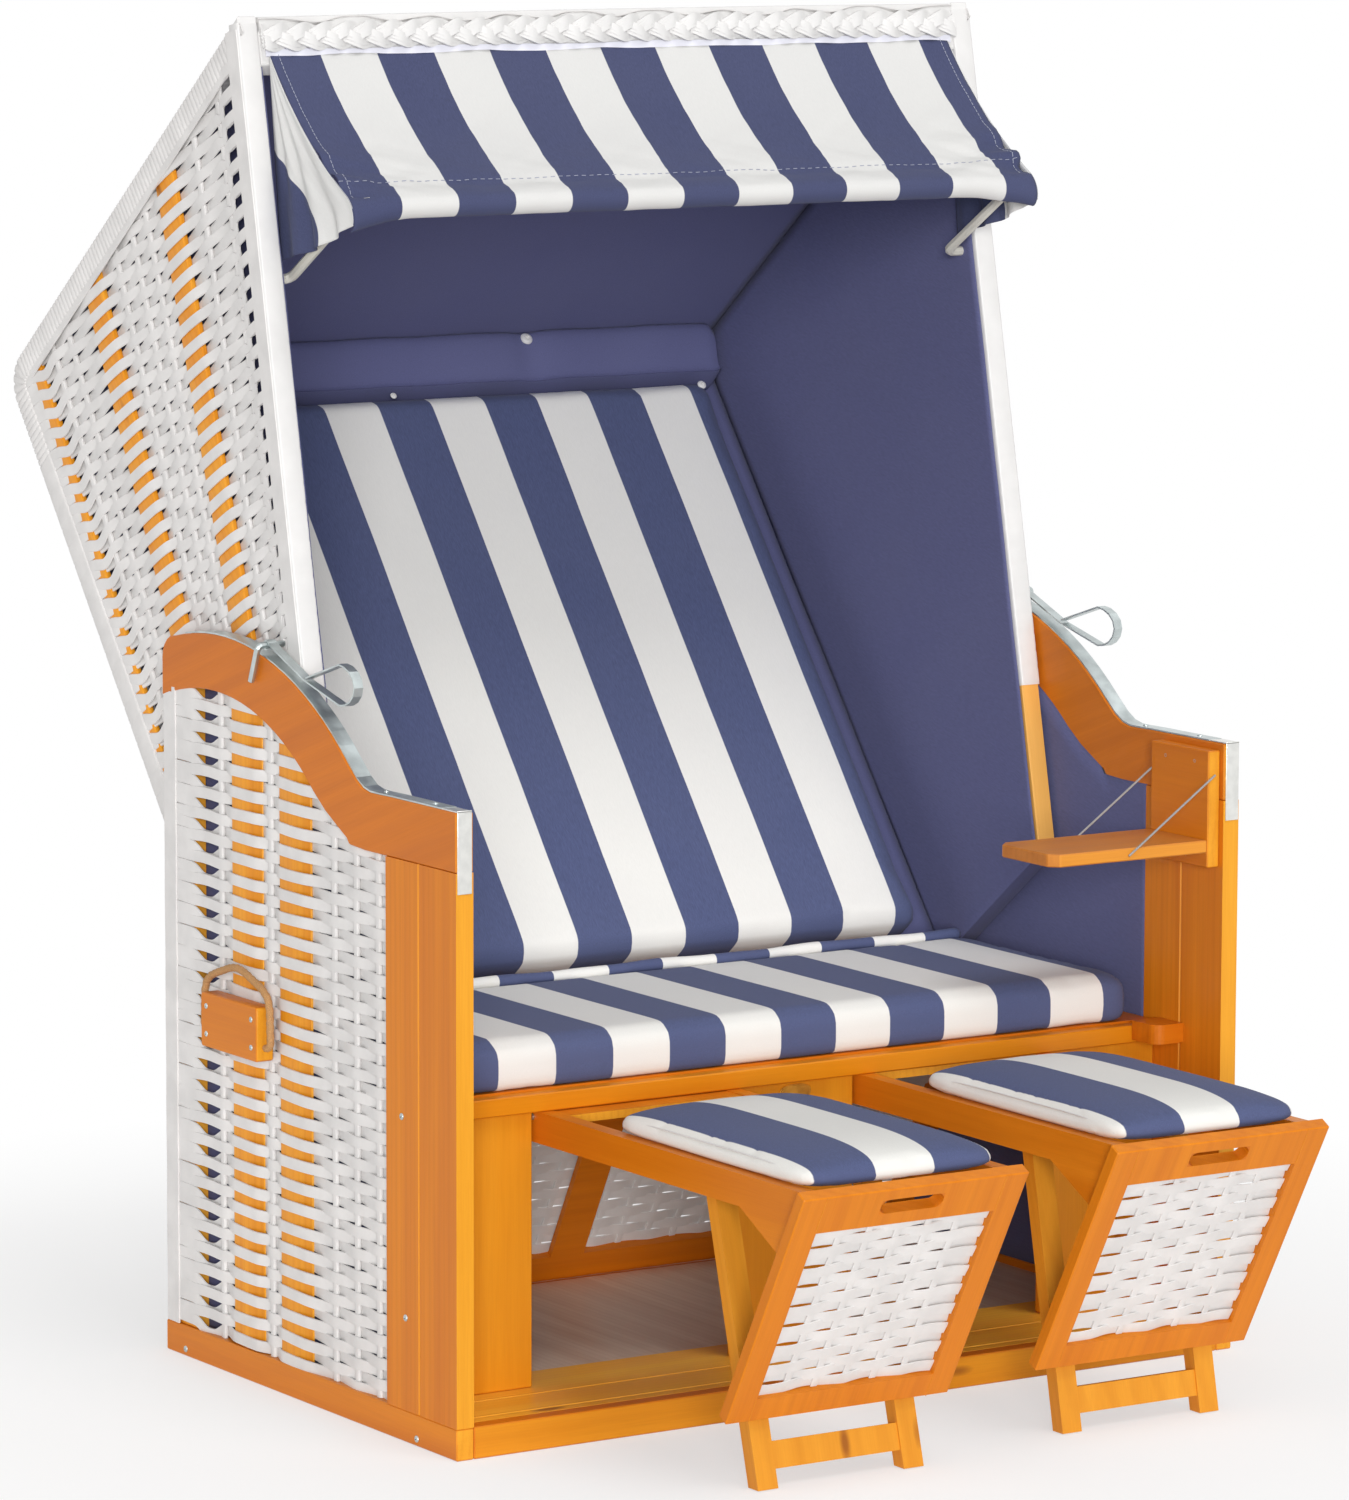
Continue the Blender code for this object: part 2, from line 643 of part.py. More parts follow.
def build_side_boards(word, x, paint):
    """Two upright boards with a V groove between them, as one panel."""
    front = -HALF_DEPTH
    joint = front + BOARD_WIDTH
    half = GROOVE_WIDTH / 2
    outline = [(x[0], front), (x[1], front)]
    outline += [(x[1], joint - half), (x[1] - GROOVE_DEPTH, joint),
                (x[1], joint + half)]
    outline += [(x[1], BOARDS_REAR), (x[0], BOARDS_REAR)]
    outline += [(x[0], joint + half), (x[0] + GROOVE_DEPTH, joint),
                (x[0], joint - half)]
    extrude("side_boards_" + word, outline, BOTTOM_RAIL_HEIGHT + GAP,
            BOARDS_TOP - GAP, paint["wood"], axis="Z", rounded=False)


def build_floor(paint):
    """Front rail, stepped deck board, inner floor and rear rail."""
    x = (-WALL + GAP, WALL - GAP)
    front = -HALF_DEPTH
    rail_rear = front + FRONT_RAIL_DEPTH
    block("front_rail", x, (front, rail_rear), (0, DECK_TOP), paint["wood"])
    half = GROOVE_WIDTH / 2
    low = DECK_TOP - DECK_THICKNESS
    outline = [(rail_rear + GAP, low), (DECK_REAR, low), (DECK_REAR, DECK_TOP)]
    for set_back in reversed(DECK_GROOVE_SET_BACKS):
        groove = front + set_back
        outline += [(groove + half, DECK_TOP), (groove, DECK_TOP - GROOVE_DEPTH),
                    (groove - half, DECK_TOP)]
    outline.append((rail_rear + GAP, DECK_TOP))
    extrude("deck_board", outline, x[0], x[1], paint["wood"], rounded=False)
    rear_front = HALF_DEPTH - REAR_RAIL_DEPTH
    block("floor_panel", x, (DECK_REAR + GAP, rear_front - GAP),
          (FLOOR_TOP - FLOOR_THICKNESS, FLOOR_TOP), paint["wood"], rounded=False)
    block("rear_rail", x, (rear_front, HALF_DEPTH), (0, REAR_RAIL_HEIGHT),
          paint["wood"])


def build_lower_front(paint):
    """Three boarded panels that leave two openings for the footrests."""
    y = (PANEL_FRONT, PANEL_FRONT + PANEL_THICKNESS)
    z = (DECK_TOP + GAP, PANEL_TOP)
    wall = WALL - GAP
    block("front_panel_left", (-wall, -OPENING_OUTER), y, z, paint["wood"])
    block("front_panel_centre", (-OPENING_INNER, OPENING_INNER), y, z, paint["wood"])
    block("front_panel_right", (OPENING_OUTER, wall), y, z, paint["wood"])


def build_seat(paint):
    """Seat rail on the panels, corner blocks, seat board and the seat cushion."""
    wall = WALL - GAP
    rail_rear = SEAT_RAIL_FRONT + SEAT_RAIL_DEPTH
    block("seat_rail", (-wall, wall), (SEAT_RAIL_FRONT, rail_rear),
          (PANEL_TOP + GAP, PANEL_TOP + SEAT_RAIL_HEIGHT), paint["wood"])
    block("seat_board", (-wall, wall), (rail_rear + GAP, SEAT_BOARD_REAR),
          (SEAT_TOP - SEAT_BOARD_THICKNESS, SEAT_TOP), paint["wood"], rounded=False)
    for word, side in SIDES.items():
        rear = SEAT_RAIL_FRONT - GAP
        front = rear - CORNER_BLOCK_DEPTH
        inner = WALL - CORNER_BLOCK_WIDTH
        centre = (side * (inner + CORNER_BLOCK_ROUND), front + CORNER_BLOCK_ROUND)
        start = math.radians(180 if side > 0 else 0)
        end = math.radians(270 if side > 0 else -90)
        corner = arc(centre, CORNER_BLOCK_ROUND, start, end, 5)
        outline = [(side * wall, front), (side * wall, rear), (side * inner, rear)]
        extrude("corner_block_" + word, outline + corner, CORNER_BLOCK_LOW,
                CORNER_BLOCK_TOP, paint["wood"], axis="Z", rounded=False)
    drop = SEAT_CUSHION_FRONT_HEIGHT - SEAT_CUSHION_REAR_HEIGHT
    pillow("seat_cushion", SEAT_CUSHION_HALF, SEAT_CUSHION_FRONT, SEAT_CUSHION_REAR,
           lambda share: SEAT_CUSHION_FRONT_HEIGHT - drop * share,
           lambda across, along, up: (across, along, SEAT_TOP + GAP + up),
           paint["stripe"], None, 30, 16, CUSHION_DRAW_IN, CUSHION_CORNER)


def build_handles(paint):
    """A wooden block with a rope loop on each wall."""
    top = HANDLE_LOW + HANDLE_HEIGHT
    foot = HANDLE_LOW + ROPE_FOOT_HEIGHT
    middle = (HANDLE_FRONT + HANDLE_REAR) / 2
    for word, side in SIDES.items():
        inner = HALF_WIDTH - WICKER_INSET + GAP
        outer = HALF_WIDTH + HANDLE_THICKNESS
        x = spans(side, inner, outer)
        block("handle_block_" + word, x, (HANDLE_FRONT, HANDLE_REAR),
              (HANDLE_LOW, top), paint["wood"])
        rope_x = side * (inner + HANDLE_THICKNESS / 2)
        half = [(HANDLE_FRONT - ROPE_STUB, foot),
                (HANDLE_FRONT - ROPE_STAND_OFF, foot + ROPE_STAND_OFF / 2),
                (HANDLE_FRONT - ROPE_STAND_OFF, foot + ROPE_FOOT_HEIGHT / 2),
                (HANDLE_FRONT - ROPE_STAND_OFF / 2, top + ROPE_RISE / 5),
                ((HANDLE_FRONT + middle) / 2, top + ROPE_RISE * ROPE_SHOULDER_SHARE)]
        crown = [(rope_x, middle, top + ROPE_RISE)]
        front = [(rope_x, y, z) for y, z in half]
        rear = [(rope_x, 2 * middle - y, z) for y, z in reversed(half)]
        route = [(rope_x, HANDLE_FRONT - GAP, foot)] + smooth(front + crown + rear, 3)
        route.append((rope_x, HANDLE_REAR + GAP, foot))
        tube("handle_rope_" + word, route, ROPE_RADIUS, paint["rope"])


def upright(forward, above):
    """World (y, z) of a place given forward of and above the upright hood's pivot."""
    lean = (math.sin(HOOD_LEAN), math.cos(HOOD_LEAN))
    return (PIVOT_Y - forward * lean[1] + above * lean[0],
            PIVOT_Z + forward * lean[0] + above * lean[1])


def hood_outline(points):
    """World outline of points drawn on the upright hood."""
    return [upright(forward, above) for forward, above in points]


def post_line(set_back, above):
    """Forward place of a line set back from the posts' front face, at a height."""
    run = math.tan(POST_LEAN)
    shift = set_back / math.cos(POST_LEAN)
    return POST_FOOT[0] - shift + (above - POST_FOOT[1]) * run


def shoulder(inset):
    """Rounded corner between the hood's back and roof, from the back upwards."""
    centre = (HOOD_BACK + SHOULDER_RADIUS, HOOD_HEIGHT - SHOULDER_RADIUS)
    return arc(centre, SHOULDER_RADIUS - inset, math.pi, math.pi / 2, SHOULDER_STEPS)


def build_hood_frame(paint, hood):
    """Posts, woven side walls, back, roof and the rail across the top front."""
    inner = HOOD_HALF - POST_WIDTH
    behind = POST_DEPTH + GAP
    foot_back = POST_FOOT[1] + POST_DEPTH * math.sin(POST_LEAN)
    post = hood_outline([
        POST_FOOT, (post_line(0, HOOD_HEIGHT), HOOD_HEIGHT),
        (post_line(POST_DEPTH, HOOD_HEIGHT), HOOD_HEIGHT),
        (post_line(POST_DEPTH, foot_back), foot_back)])
    side_wall = hood_outline(
        [(HOOD_BACK, HOOD_LOW), (post_line(behind, HOOD_LOW), HOOD_LOW),
         (post_line(behind, HOOD_HEIGHT), HOOD_HEIGHT)] + shoulder(0)[::-1])
    for word, side in SIDES.items():
        x = spans(side, inner, HOOD_HALF)
        extrude("hood_post_" + word, post, x[0], x[1], paint["wood"], hood)
        wall = extrude("hood_side_" + word, side_wall, x[0], x[1], paint["wicker"],
                       hood, rounded=False)
        boss_x = spans(side, HOOD_HALF - OVERRUN, WALL + WICKER_INSET - GAP)
        boss = cylinder_x("pivot_boss_" + word, (PIVOT_Y, PIVOT_Z),
                          PIVOT_BOSS_RADIUS, boss_x[0], boss_x[1], paint["wicker"],
                          hood)
        join(wall, boss)
    span = (-inner + GAP, inner - GAP)
    back_inner = HOOD_BACK + HOOD_WALL
    roof_start = HOOD_BACK + SHOULDER_RADIUS
    roof_low = HOOD_HEIGHT - HOOD_WALL
    back = [(back_inner, BACK_PANEL_LOW), (HOOD_BACK, BACK_PANEL_LOW)]
    back += shoulder(0) + shoulder(HOOD_WALL)[::-1]
    extrude("hood_back", hood_outline(back), span[0], span[1], paint["wicker"], hood,
            rounded=False)
    roof = [(roof_start + GAP, roof_low), (roof_start + GAP, HOOD_HEIGHT),
            (post_line(0, HOOD_HEIGHT), HOOD_HEIGHT), (post_line(0, roof_low), roof_low)]
    extrude("hood_roof", hood_outline(roof), span[0], span[1], paint["wicker"], hood,
            rounded=False)
    rail_top = roof_low - GAP
    rail_low = rail_top - TOP_RAIL_HEIGHT * math.cos(POST_LEAN)
    rail = [(post_line(0, rail_top), rail_top), (post_line(0, rail_low), rail_low),
            (post_line(POST_DEPTH, rail_low), rail_low),
            (post_line(POST_DEPTH, rail_top), rail_top)]
    extrude("hood_top_rail", hood_outline(rail), span[0], span[1], paint["wood"],
            hood)


def build_lining(paint, hood):
    """Cloth lining on the inside of the hood's sides, back and roof."""
    inner = HOOD_HALF - POST_WIDTH - GAP
    behind = POST_DEPTH + 2 * GAP
    back_inner = HOOD_BACK + HOOD_WALL + GAP
    roof_low = HOOD_HEIGHT - HOOD_WALL - GAP
    outer = [(back_inner, BACK_PANEL_LOW), (post_line(behind, BACK_PANEL_LOW),
                                            BACK_PANEL_LOW),
             (post_line(behind, roof_low), roof_low)]
    outer += shoulder(HOOD_WALL + GAP)[::-1]
    lining = extrude("hood_lining", hood_outline(outer), -inner, inner,
                     paint["lining"], hood, rounded=False)
    low = BACK_PANEL_LOW - OVERRUN
    hollow_top = roof_low - LINING_THICKNESS
    hollow = [(back_inner + LINING_THICKNESS, low),
              (post_line(-OVERRUN, low), low),
              (post_line(-OVERRUN, hollow_top), hollow_top)]
    hollow += shoulder(HOOD_WALL + GAP + LINING_THICKNESS)[::-1]
    inside = inner - LINING_THICKNESS
    cutter = extrude("lining_hollow", hood_outline(hollow), -inside, inside,
                     paint["lining"], hood, rounded=False)
    cut(lining, cutter)
    hole = cylinder_x("bow_holes", upright(*BOW_PIVOT), BOW_LINING_HOLE,
                      -inner - OVERRUN, inner + OVERRUN, paint["lining"], hood)
    cut(lining, hole)


def build_back_cushion(paint, hood):
    """Back cushion against the lining, and the neck roll in the corner above it."""
    rest = HOOD_BACK + HOOD_WALL + LINING_THICKNESS + 2 * GAP

    def place(across, along, up):
        """A place on the cushion in the world."""
        return (across, *upright(rest + up, along))

    pillow("back_cushion", BACK_CUSHION_HALF, BACK_CUSHION_LOW, BACK_CUSHION_TOP,
           lambda share: BACK_CUSHION_THICKNESS, place, paint["stripe"], hood, 28, 20,
           CUSHION_DRAW_IN, CUSHION_CORNER)
    top = HOOD_HEIGHT - HOOD_WALL - LINING_THICKNESS - 2 * GAP
    curve = SHOULDER_RADIUS - HOOD_WALL - LINING_THICKNESS - 2 * GAP
    corner = arc((rest + curve, top - curve), curve, math.pi, math.pi / 2, 3)
    front = rest + NECK_ROLL_REACH
    hang_low = top - NECK_ROLL_HANG_SHARE * NECK_ROLL_REACH
    foot = rest + NECK_ROLL_FOOT_SHARE * NECK_ROLL_REACH
    face = ease((front, top), (front, hang_low), (rest, NECK_ROLL_LOW),
                (foot, NECK_ROLL_LOW), EASE_STEPS + 1)
    outline = [(rest, NECK_ROLL_LOW)] + corner + [(front, top)] + face
    extrude("neck_roll", hood_outline(outline), -NECK_ROLL_HALF, NECK_ROLL_HALF,
            paint["lining"], hood, rounded=False)


def awning_profile():
    """Forward and upward places of the sheet, from the rail down to the roll."""
    skin = AWNING_THICKNESS / 2
    start = (post_line(-skin - GAP, AWNING_TOP), AWNING_TOP)
    roll = AWNING_ROLL_RADIUS
    slack = roll - skin - BOW_RADIUS - GAP
    way = Vector((BOW_FRONT[0] - start[0], BOW_FRONT[1] - start[1])).normalized()
    out = Vector((-way.y, way.x))
    centre = (BOW_FRONT[0] - out.x * slack, BOW_FRONT[1] - out.y * slack)
    first = math.atan2(out.y, out.x)
    round_part = arc(centre, roll, first, first - AWNING_ROLL_TURN, AWNING_ROLL_ROWS)
    sheet = []
    for i in range(AWNING_ROWS):
        share = i / AWNING_ROWS
        sag = AWNING_SAG * 4 * share * (1 - share)
        sheet.append((start[0] + (round_part[0][0] - start[0]) * share - out.x * sag,
                      start[1] + (round_part[0][1] - start[1]) * share - out.y * sag))
    return sheet, round_part


def build_awning(paint, hood):
    """Striped sheet from the top rail to the bow, with gathered gussets."""
    sheet, roll = awning_profile()
    half = AWNING_HALF

    def across_row(point):
        """One row of the sheet."""
        return [(half * (2 * i / AWNING_COLUMNS - 1), *upright(*point))
                for i in range(AWNING_COLUMNS + 1)]

    grids = [[across_row(point) for point in sheet + roll]]
    seam = sheet + roll[:1]
    start = (seam[0][0] - AWNING_GUSSET_START * math.sin(POST_LEAN),
             seam[0][1] - AWNING_GUSSET_START * math.cos(POST_LEAN))
    foot_height = BOW_PIVOT[1] + AWNING_GUSSET_FOOT
    foot = (post_line(POST_DEPTH, foot_height), foot_height)
    for side in SIDES.values():
        grid = []
        for j, point in enumerate(seam):
            share = j / (len(seam) - 1)
            back = (start[0] + (foot[0] - start[0]) * share,
                    start[1] + (foot[1] - start[1]) * share)
            line = []
            for i in range(AWNING_GUSSET_COLUMNS + 1):
                t = i / AWNING_GUSSET_COLUMNS
                wave = AWNING_GUSSET_WAVE * share * math.sin(3 * math.pi * t)
                across = side * (half + wave * math.sin(math.pi * t))
                line.append((across, *upright(point[0] + (back[0] - point[0]) * t,
                                              point[1] + (back[1] - point[1]) * t)))
            grid.append(line)
        grids.append(grid)
    thin_sheet("awning_cloth", grids, AWNING_THICKNESS, paint["stripe"], hood)


def build_bow(paint, hood):
    """Round steel bow that carries the awning's front edge."""
    pivot = upright(*BOW_PIVOT)
    front = upright(*BOW_FRONT)
    axis = add_axis("awning_bow_axis", (0, *pivot), hood)
    end = HOOD_HALF - POST_WIDTH - GAP
    corners = [(-end, *pivot), (-BOW_HALF, *pivot), (-BOW_HALF, *front),
               (BOW_HALF, *front), (BOW_HALF, *pivot), (end, *pivot)]
    path = [corners[0]]
    for i in range(1, len(corners) - 1):
        near_end = i in (1, len(corners) - 2)
        radius = (end - BOW_HALF) / 2 if near_end else BOW_BEND
        path += rounded_turn(corners[i], corners[i - 1], corners[i + 1], radius,
                             BOW_BEND_STEPS)
    path.append(corners[-1])
    tube("awning_bow", path, BOW_RADIUS, paint["steel"], axis, 2)


def build_locks(paint, hood):
    """A hooked rod out of each hood side, and the looped lever that turns on it."""
    rod = (LOCK_ROD_Y, LOCK_ROD_Z)
    for word, side in SIDES.items():
        hook_axis = add_axis("lock_hook_axis_" + word, (0, *rod), hood)
        start = side * (HOOD_HALF + GAP)
        outer = side * (HALF_WIDTH + LOCK_HOOK_STAND_OFF)
        corner = (outer, *rod)
        foot = (outer, rod[0] + LOCK_HOOK_SLOPE, rod[1] - LOCK_HOOK_DROP)
        path = [(start, *rod)]
        path += rounded_turn(corner, path[0], foot, 2 * LOCK_ROD_RADIUS, 4)
        path.append(foot)
        tube("lock_hook_" + word, path, LOCK_ROD_RADIUS, paint["steel"], hook_axis, 2)
        lever_axis = add_axis("lock_lever_axis_" + word, (0, *rod), hook_axis)
        middle = (HOOD_HALF + HALF_WIDTH) / 2 + LOCK_ROD_RADIUS
        x = spans(side, middle - LEVER_WIDTH / 2, middle + LEVER_WIDTH / 2)
        extrude("lock_lever_" + word, ribbon(lever_path(), LEVER_THICKNESS), x[0],
                x[1], paint["steel"], lever_axis, rounded=False)


def lever_path():
    """Middle line of the lever: an eye round the rod, a bar and a drop-shaped loop."""
    rod = (LOCK_ROD_Y, LOCK_ROD_Z)
    eye = LOCK_ROD_RADIUS + GAP + LEVER_THICKNESS / 2
    way = math.atan2(LEVER_NECK[1], LEVER_NECK[0])
    eye_part = arc(rod, eye, way + LEVER_EYE_START, way + LEVER_EYE_END,
                   LEVER_EYE_STEPS)
    neck, low, tip, high = ((rod[0] + y, rod[1] + z) for y, z in (
        LEVER_NECK, LEVER_LOOP_LOW, LEVER_LOOP_TIP, LEVER_LOOP_HIGH))
    rise = (high[1] - low[1]) / 2
    ahead, along = (share * rise for share in LEVER_NOSE_SHARES)
    nose = ease(low, (low[0] - ahead, low[1]), tip, (tip[0], tip[1] - along),
                LEVER_LOOP_STEPS // 2)
    crown = ease(tip, (tip[0], tip[1] + along), high, (high[0] - ahead, high[1]),
                 LEVER_LOOP_STEPS // 2)
    back = (neck[0] - LEVER_THICKNESS, neck[1] + LEVER_BACK_RISE)
    return eye_part + [neck, low] + nose + [tip] + crown + [high, back]


def ribbon(path, thickness):
    """Closed outline of a strip of even thickness along a path."""
    left, right = [], []
    for i, point in enumerate(path):
        before = Vector(path[max(i - 1, 0)])
        after = Vector(path[min(i + 1, len(path) - 1)])
        here = Vector(point)
        way_in = (here - before).normalized() if i else (after - here).normalized()
        way_out = (after - here).normalized() if i < len(path) - 1 else way_in
        way = (way_in + way_out).normalized()
        widen = 1 / max(LEVER_MITRE_SHARE, way.dot(way_in))
        side = Vector((-way.y, way.x)) * thickness / 2 * widen
        left.append(tuple(here + side))
        right.append(tuple(here - side))
    return left + right[::-1]


def build_table(paint):
    """Folding side table on the right wall, its bracket board and its two cords."""
    face = WALL - GAP - TABLE_BRACKET_DEPTH
    block("table_bracket", (face, WALL - GAP), (TABLE_FRONT, TABLE_REAR),
          (TABLE_BRACKET_LOW, TABLE_BRACKET_LOW + TABLE_BRACKET_HEIGHT), paint["wood"])
    axis = add_axis("table_hinge", (face - TABLE_HINGE_GAP / 2, TABLE_FRONT,
                                    TABLE_TOP_Z))
    near = face - TABLE_HINGE_GAP
    far = near - TABLE_REACH
    cut_corner = TABLE_CHAMFER
    outline = [(near, TABLE_FRONT), (near, TABLE_REAR), (far + cut_corner, TABLE_REAR),
               (far, TABLE_REAR - cut_corner), (far, TABLE_FRONT + cut_corner),
               (far + cut_corner, TABLE_FRONT)]
    low = TABLE_TOP_Z - TABLE_THICKNESS
    extrude("table_top", outline, low, TABLE_TOP_Z, paint["wood"], axis, axis="Z")
    stand_off = TABLE_CORD_RADIUS + GAP
    places = {"front": TABLE_FRONT - stand_off, "rear": TABLE_REAR + stand_off}
    top_z = TABLE_BRACKET_LOW + TABLE_BRACKET_HEIGHT - TABLE_CORD_DOWN
    eye_z = low + TABLE_THICKNESS * TABLE_CORD_EYE_SHARE
    for word, y in places.items():
        top = Vector((WALL - TABLE_BRACKET_DEPTH / 2, y, top_z))
        eye = Vector((face - TABLE_CORD_REACH, y, eye_z))
        points = [tuple(top.lerp(eye, i / TABLE_CORD_STEPS))
                  for i in range(TABLE_CORD_STEPS + 1)]
        tube("table_cord_" + word, points, TABLE_CORD_RADIUS, paint["rope"])


def build_flap(paint):
    """Rear flap: framed weave on a hinge along the rear rail, leaning forwards."""
    half = FLAP_THICKNESS / 2
    hinge_z = REAR_RAIL_HEIGHT + GAP + half
    axis = add_axis("flap_hinge", (0, FLAP_HINGE_Y, hinge_z))
    along = Vector((-math.sin(FLAP_LEAN), math.cos(FLAP_LEAN)))
    out = Vector((math.cos(FLAP_LEAN), math.sin(FLAP_LEAN)))

    def place(up, back):
        """World (y, z) of a place along and behind the flap's middle plane."""
        return (FLAP_HINGE_Y + along.x * up + out.x * back,
                hinge_z + along.y * up + out.y * back)

    foot = [place(-half * math.sin(math.pi * i / FLAP_ROUND_STEPS),
                  half * math.cos(math.pi * i / FLAP_ROUND_STEPS))
            for i in range(FLAP_ROUND_STEPS + 1)]
    outline = foot + [place(FLAP_LENGTH, -half), place(FLAP_LENGTH, half)]
    frame = extrude("flap_frame", outline, -FLAP_HALF, FLAP_HALF, paint["wood"], axis,
                    rounded=False)
    window = (FLAP_FRAME_WIDTH, FLAP_LENGTH - FLAP_FRAME_WIDTH)
    side = FLAP_HALF - FLAP_FRAME_WIDTH
    behind = half - FLAP_WEAVE_DEPTH
    rebate = [place(window[0], behind), place(window[1], behind),
              place(window[1], half + OVERRUN), place(window[0], half + OVERRUN)]
    cut(frame, extrude("flap_rebate", rebate, -side, side, paint["wood"], axis,
                       rounded=False))
    through = [place(window[0], -half - OVERRUN), place(window[1], -half - OVERRUN),
               place(window[1], behind + GAP), place(window[0], behind + GAP)]
    for word, turn in SIDES.items():
        x = spans(turn, FLAP_STILE / 2, side)
        cut(frame, extrude("flap_window_" + word, through, x[0], x[1], paint["wood"],
                           axis, rounded=False))
    weave = [place(window[0] + GAP, behind + GAP), place(window[1] - GAP, behind + GAP),
             place(window[1] - GAP, half), place(window[0] + GAP, half)]
    extrude("flap_weave", weave, -side + GAP, side - GAP, paint["wicker"], axis,
            rounded=False)


def build_footrest(word, side, paint):
    """One footrest: pin rod, frame, panel, weave, cushion and folding legs."""
    pin = (PIN_OUT[0] + PUSHED_IN[word], PIN_OUT[1])
    centre = side * FOOTREST_CENTRE

    def place(forward, up):
        """World (y, z) of a place forward of and above the rear pin."""
        return (pin[0] - forward, pin[1] + up)

    def outline(points):
        """World outline of points given from the rear pin."""
        return [place(forward, up) for forward, up in points]

    frame_axis = add_axis("footrest_slide_" + word, (centre, *pin))
    reach = (OPENING_OUTER - OPENING_INNER) / 2 - GAP
    cylinder_x("footrest_rod_" + word, pin, PIN_RADIUS, centre - reach,
               centre + reach, paint["steel"], frame_axis, 16)
    build_footrest_frame(word, centre, outline, paint, frame_axis)
    build_footrest_panel(word, centre, outline, paint, frame_axis)
    pad_low = FRAME_TOP + GAP
    pillow("footrest_cushion_" + word, FOOT_CUSHION_HALF, FOOT_CUSHION_REAR,
           FOOT_CUSHION_FRONT, lambda part: FOOT_CUSHION_HEIGHT,
           lambda across, along, up: (centre + across, *place(along, pad_low + up)),
           paint["stripe"], frame_axis, 16, 16, CUSHION_DRAW_IN, CUSHION_CORNER)
    pivot = place(LEG_PIVOT_FORWARD[word], LEG_PIVOT_UP)
    foot = (pin[0] - FOOT_AHEAD[word], FOOT_CLEARANCE)
    build_footrest_legs(word, centre, pivot, foot, paint, frame_axis)


def panel_line(down, back):
    """Place on the footrest panel, down from its top edge and behind its face."""
    lean = (math.sin(FOOT_PANEL_LEAN), math.cos(FOOT_PANEL_LEAN))
    return (FOOT_PANEL_TOP[0] - lean[0] * down - lean[1] * back,
            FOOT_PANEL_TOP[1] - lean[1] * down + lean[0] * back)


def panel_meet(up, back):
    """Forward place where a level line meets the back of the footrest panel."""
    at_top = panel_line(0, back)
    return at_top[0] - (at_top[1] - up) * math.tan(FOOT_PANEL_LEAN)


def build_footrest_frame(word, centre, outline, paint, axis):
    """Two rails with gussets under their front ends, and a flat rear crossbar."""
    back = FOOT_PANEL_THICKNESS + GAP
    low_meet = panel_meet(FRAME_LOW, back)
    apex_down = (FOOT_PANEL_TOP[1] - FRAME_LOW) / math.cos(FOOT_PANEL_LEAN)
    apex = panel_line(apex_down + GUSSET_FOOT, back)
    rail = [(FRAME_REAR, FRAME_LOW), (FRAME_REAR, FRAME_TOP),
            (panel_meet(FRAME_TOP, back), FRAME_TOP), (low_meet, FRAME_LOW),
            apex, (GUSSET_START, FRAME_LOW)]
    outer = FRAME_WIDTH / 2
    frame = extrude("footrest_frame_" + word, outline(rail), centre - outer,
                    centre - outer + FRAME_BAR, paint["wood"], axis, rounded=False)
    other = extrude("footrest_rail_" + word, outline(rail), centre + outer - FRAME_BAR,
                    centre + outer, paint["wood"], axis, rounded=False)
    top = FRAME_TOP - CROSSBAR_DROP
    low = top - CROSSBAR_HEIGHT
    bar = [(CROSSBAR_START, low), (CROSSBAR_START, top), (CROSSBAR_END, top),
           (CROSSBAR_END, low)]
    lap = FRAME_BAR / 2
    crossbar = extrude("footrest_crossbar_" + word, outline(bar),
                       centre - outer + lap, centre + outer - lap, paint["wood"], axis,
                       rounded=False)
    join(frame, other)
    join(frame, crossbar)
    pin = outline([(0, 0)])[0]
    hole = cylinder_x("footrest_pin_hole_" + word, pin, PIN_RADIUS + GAP,
                      centre - outer - OVERRUN, centre + outer + OVERRUN,
                      paint["wood"], axis, 16)
    cut(frame, hole)


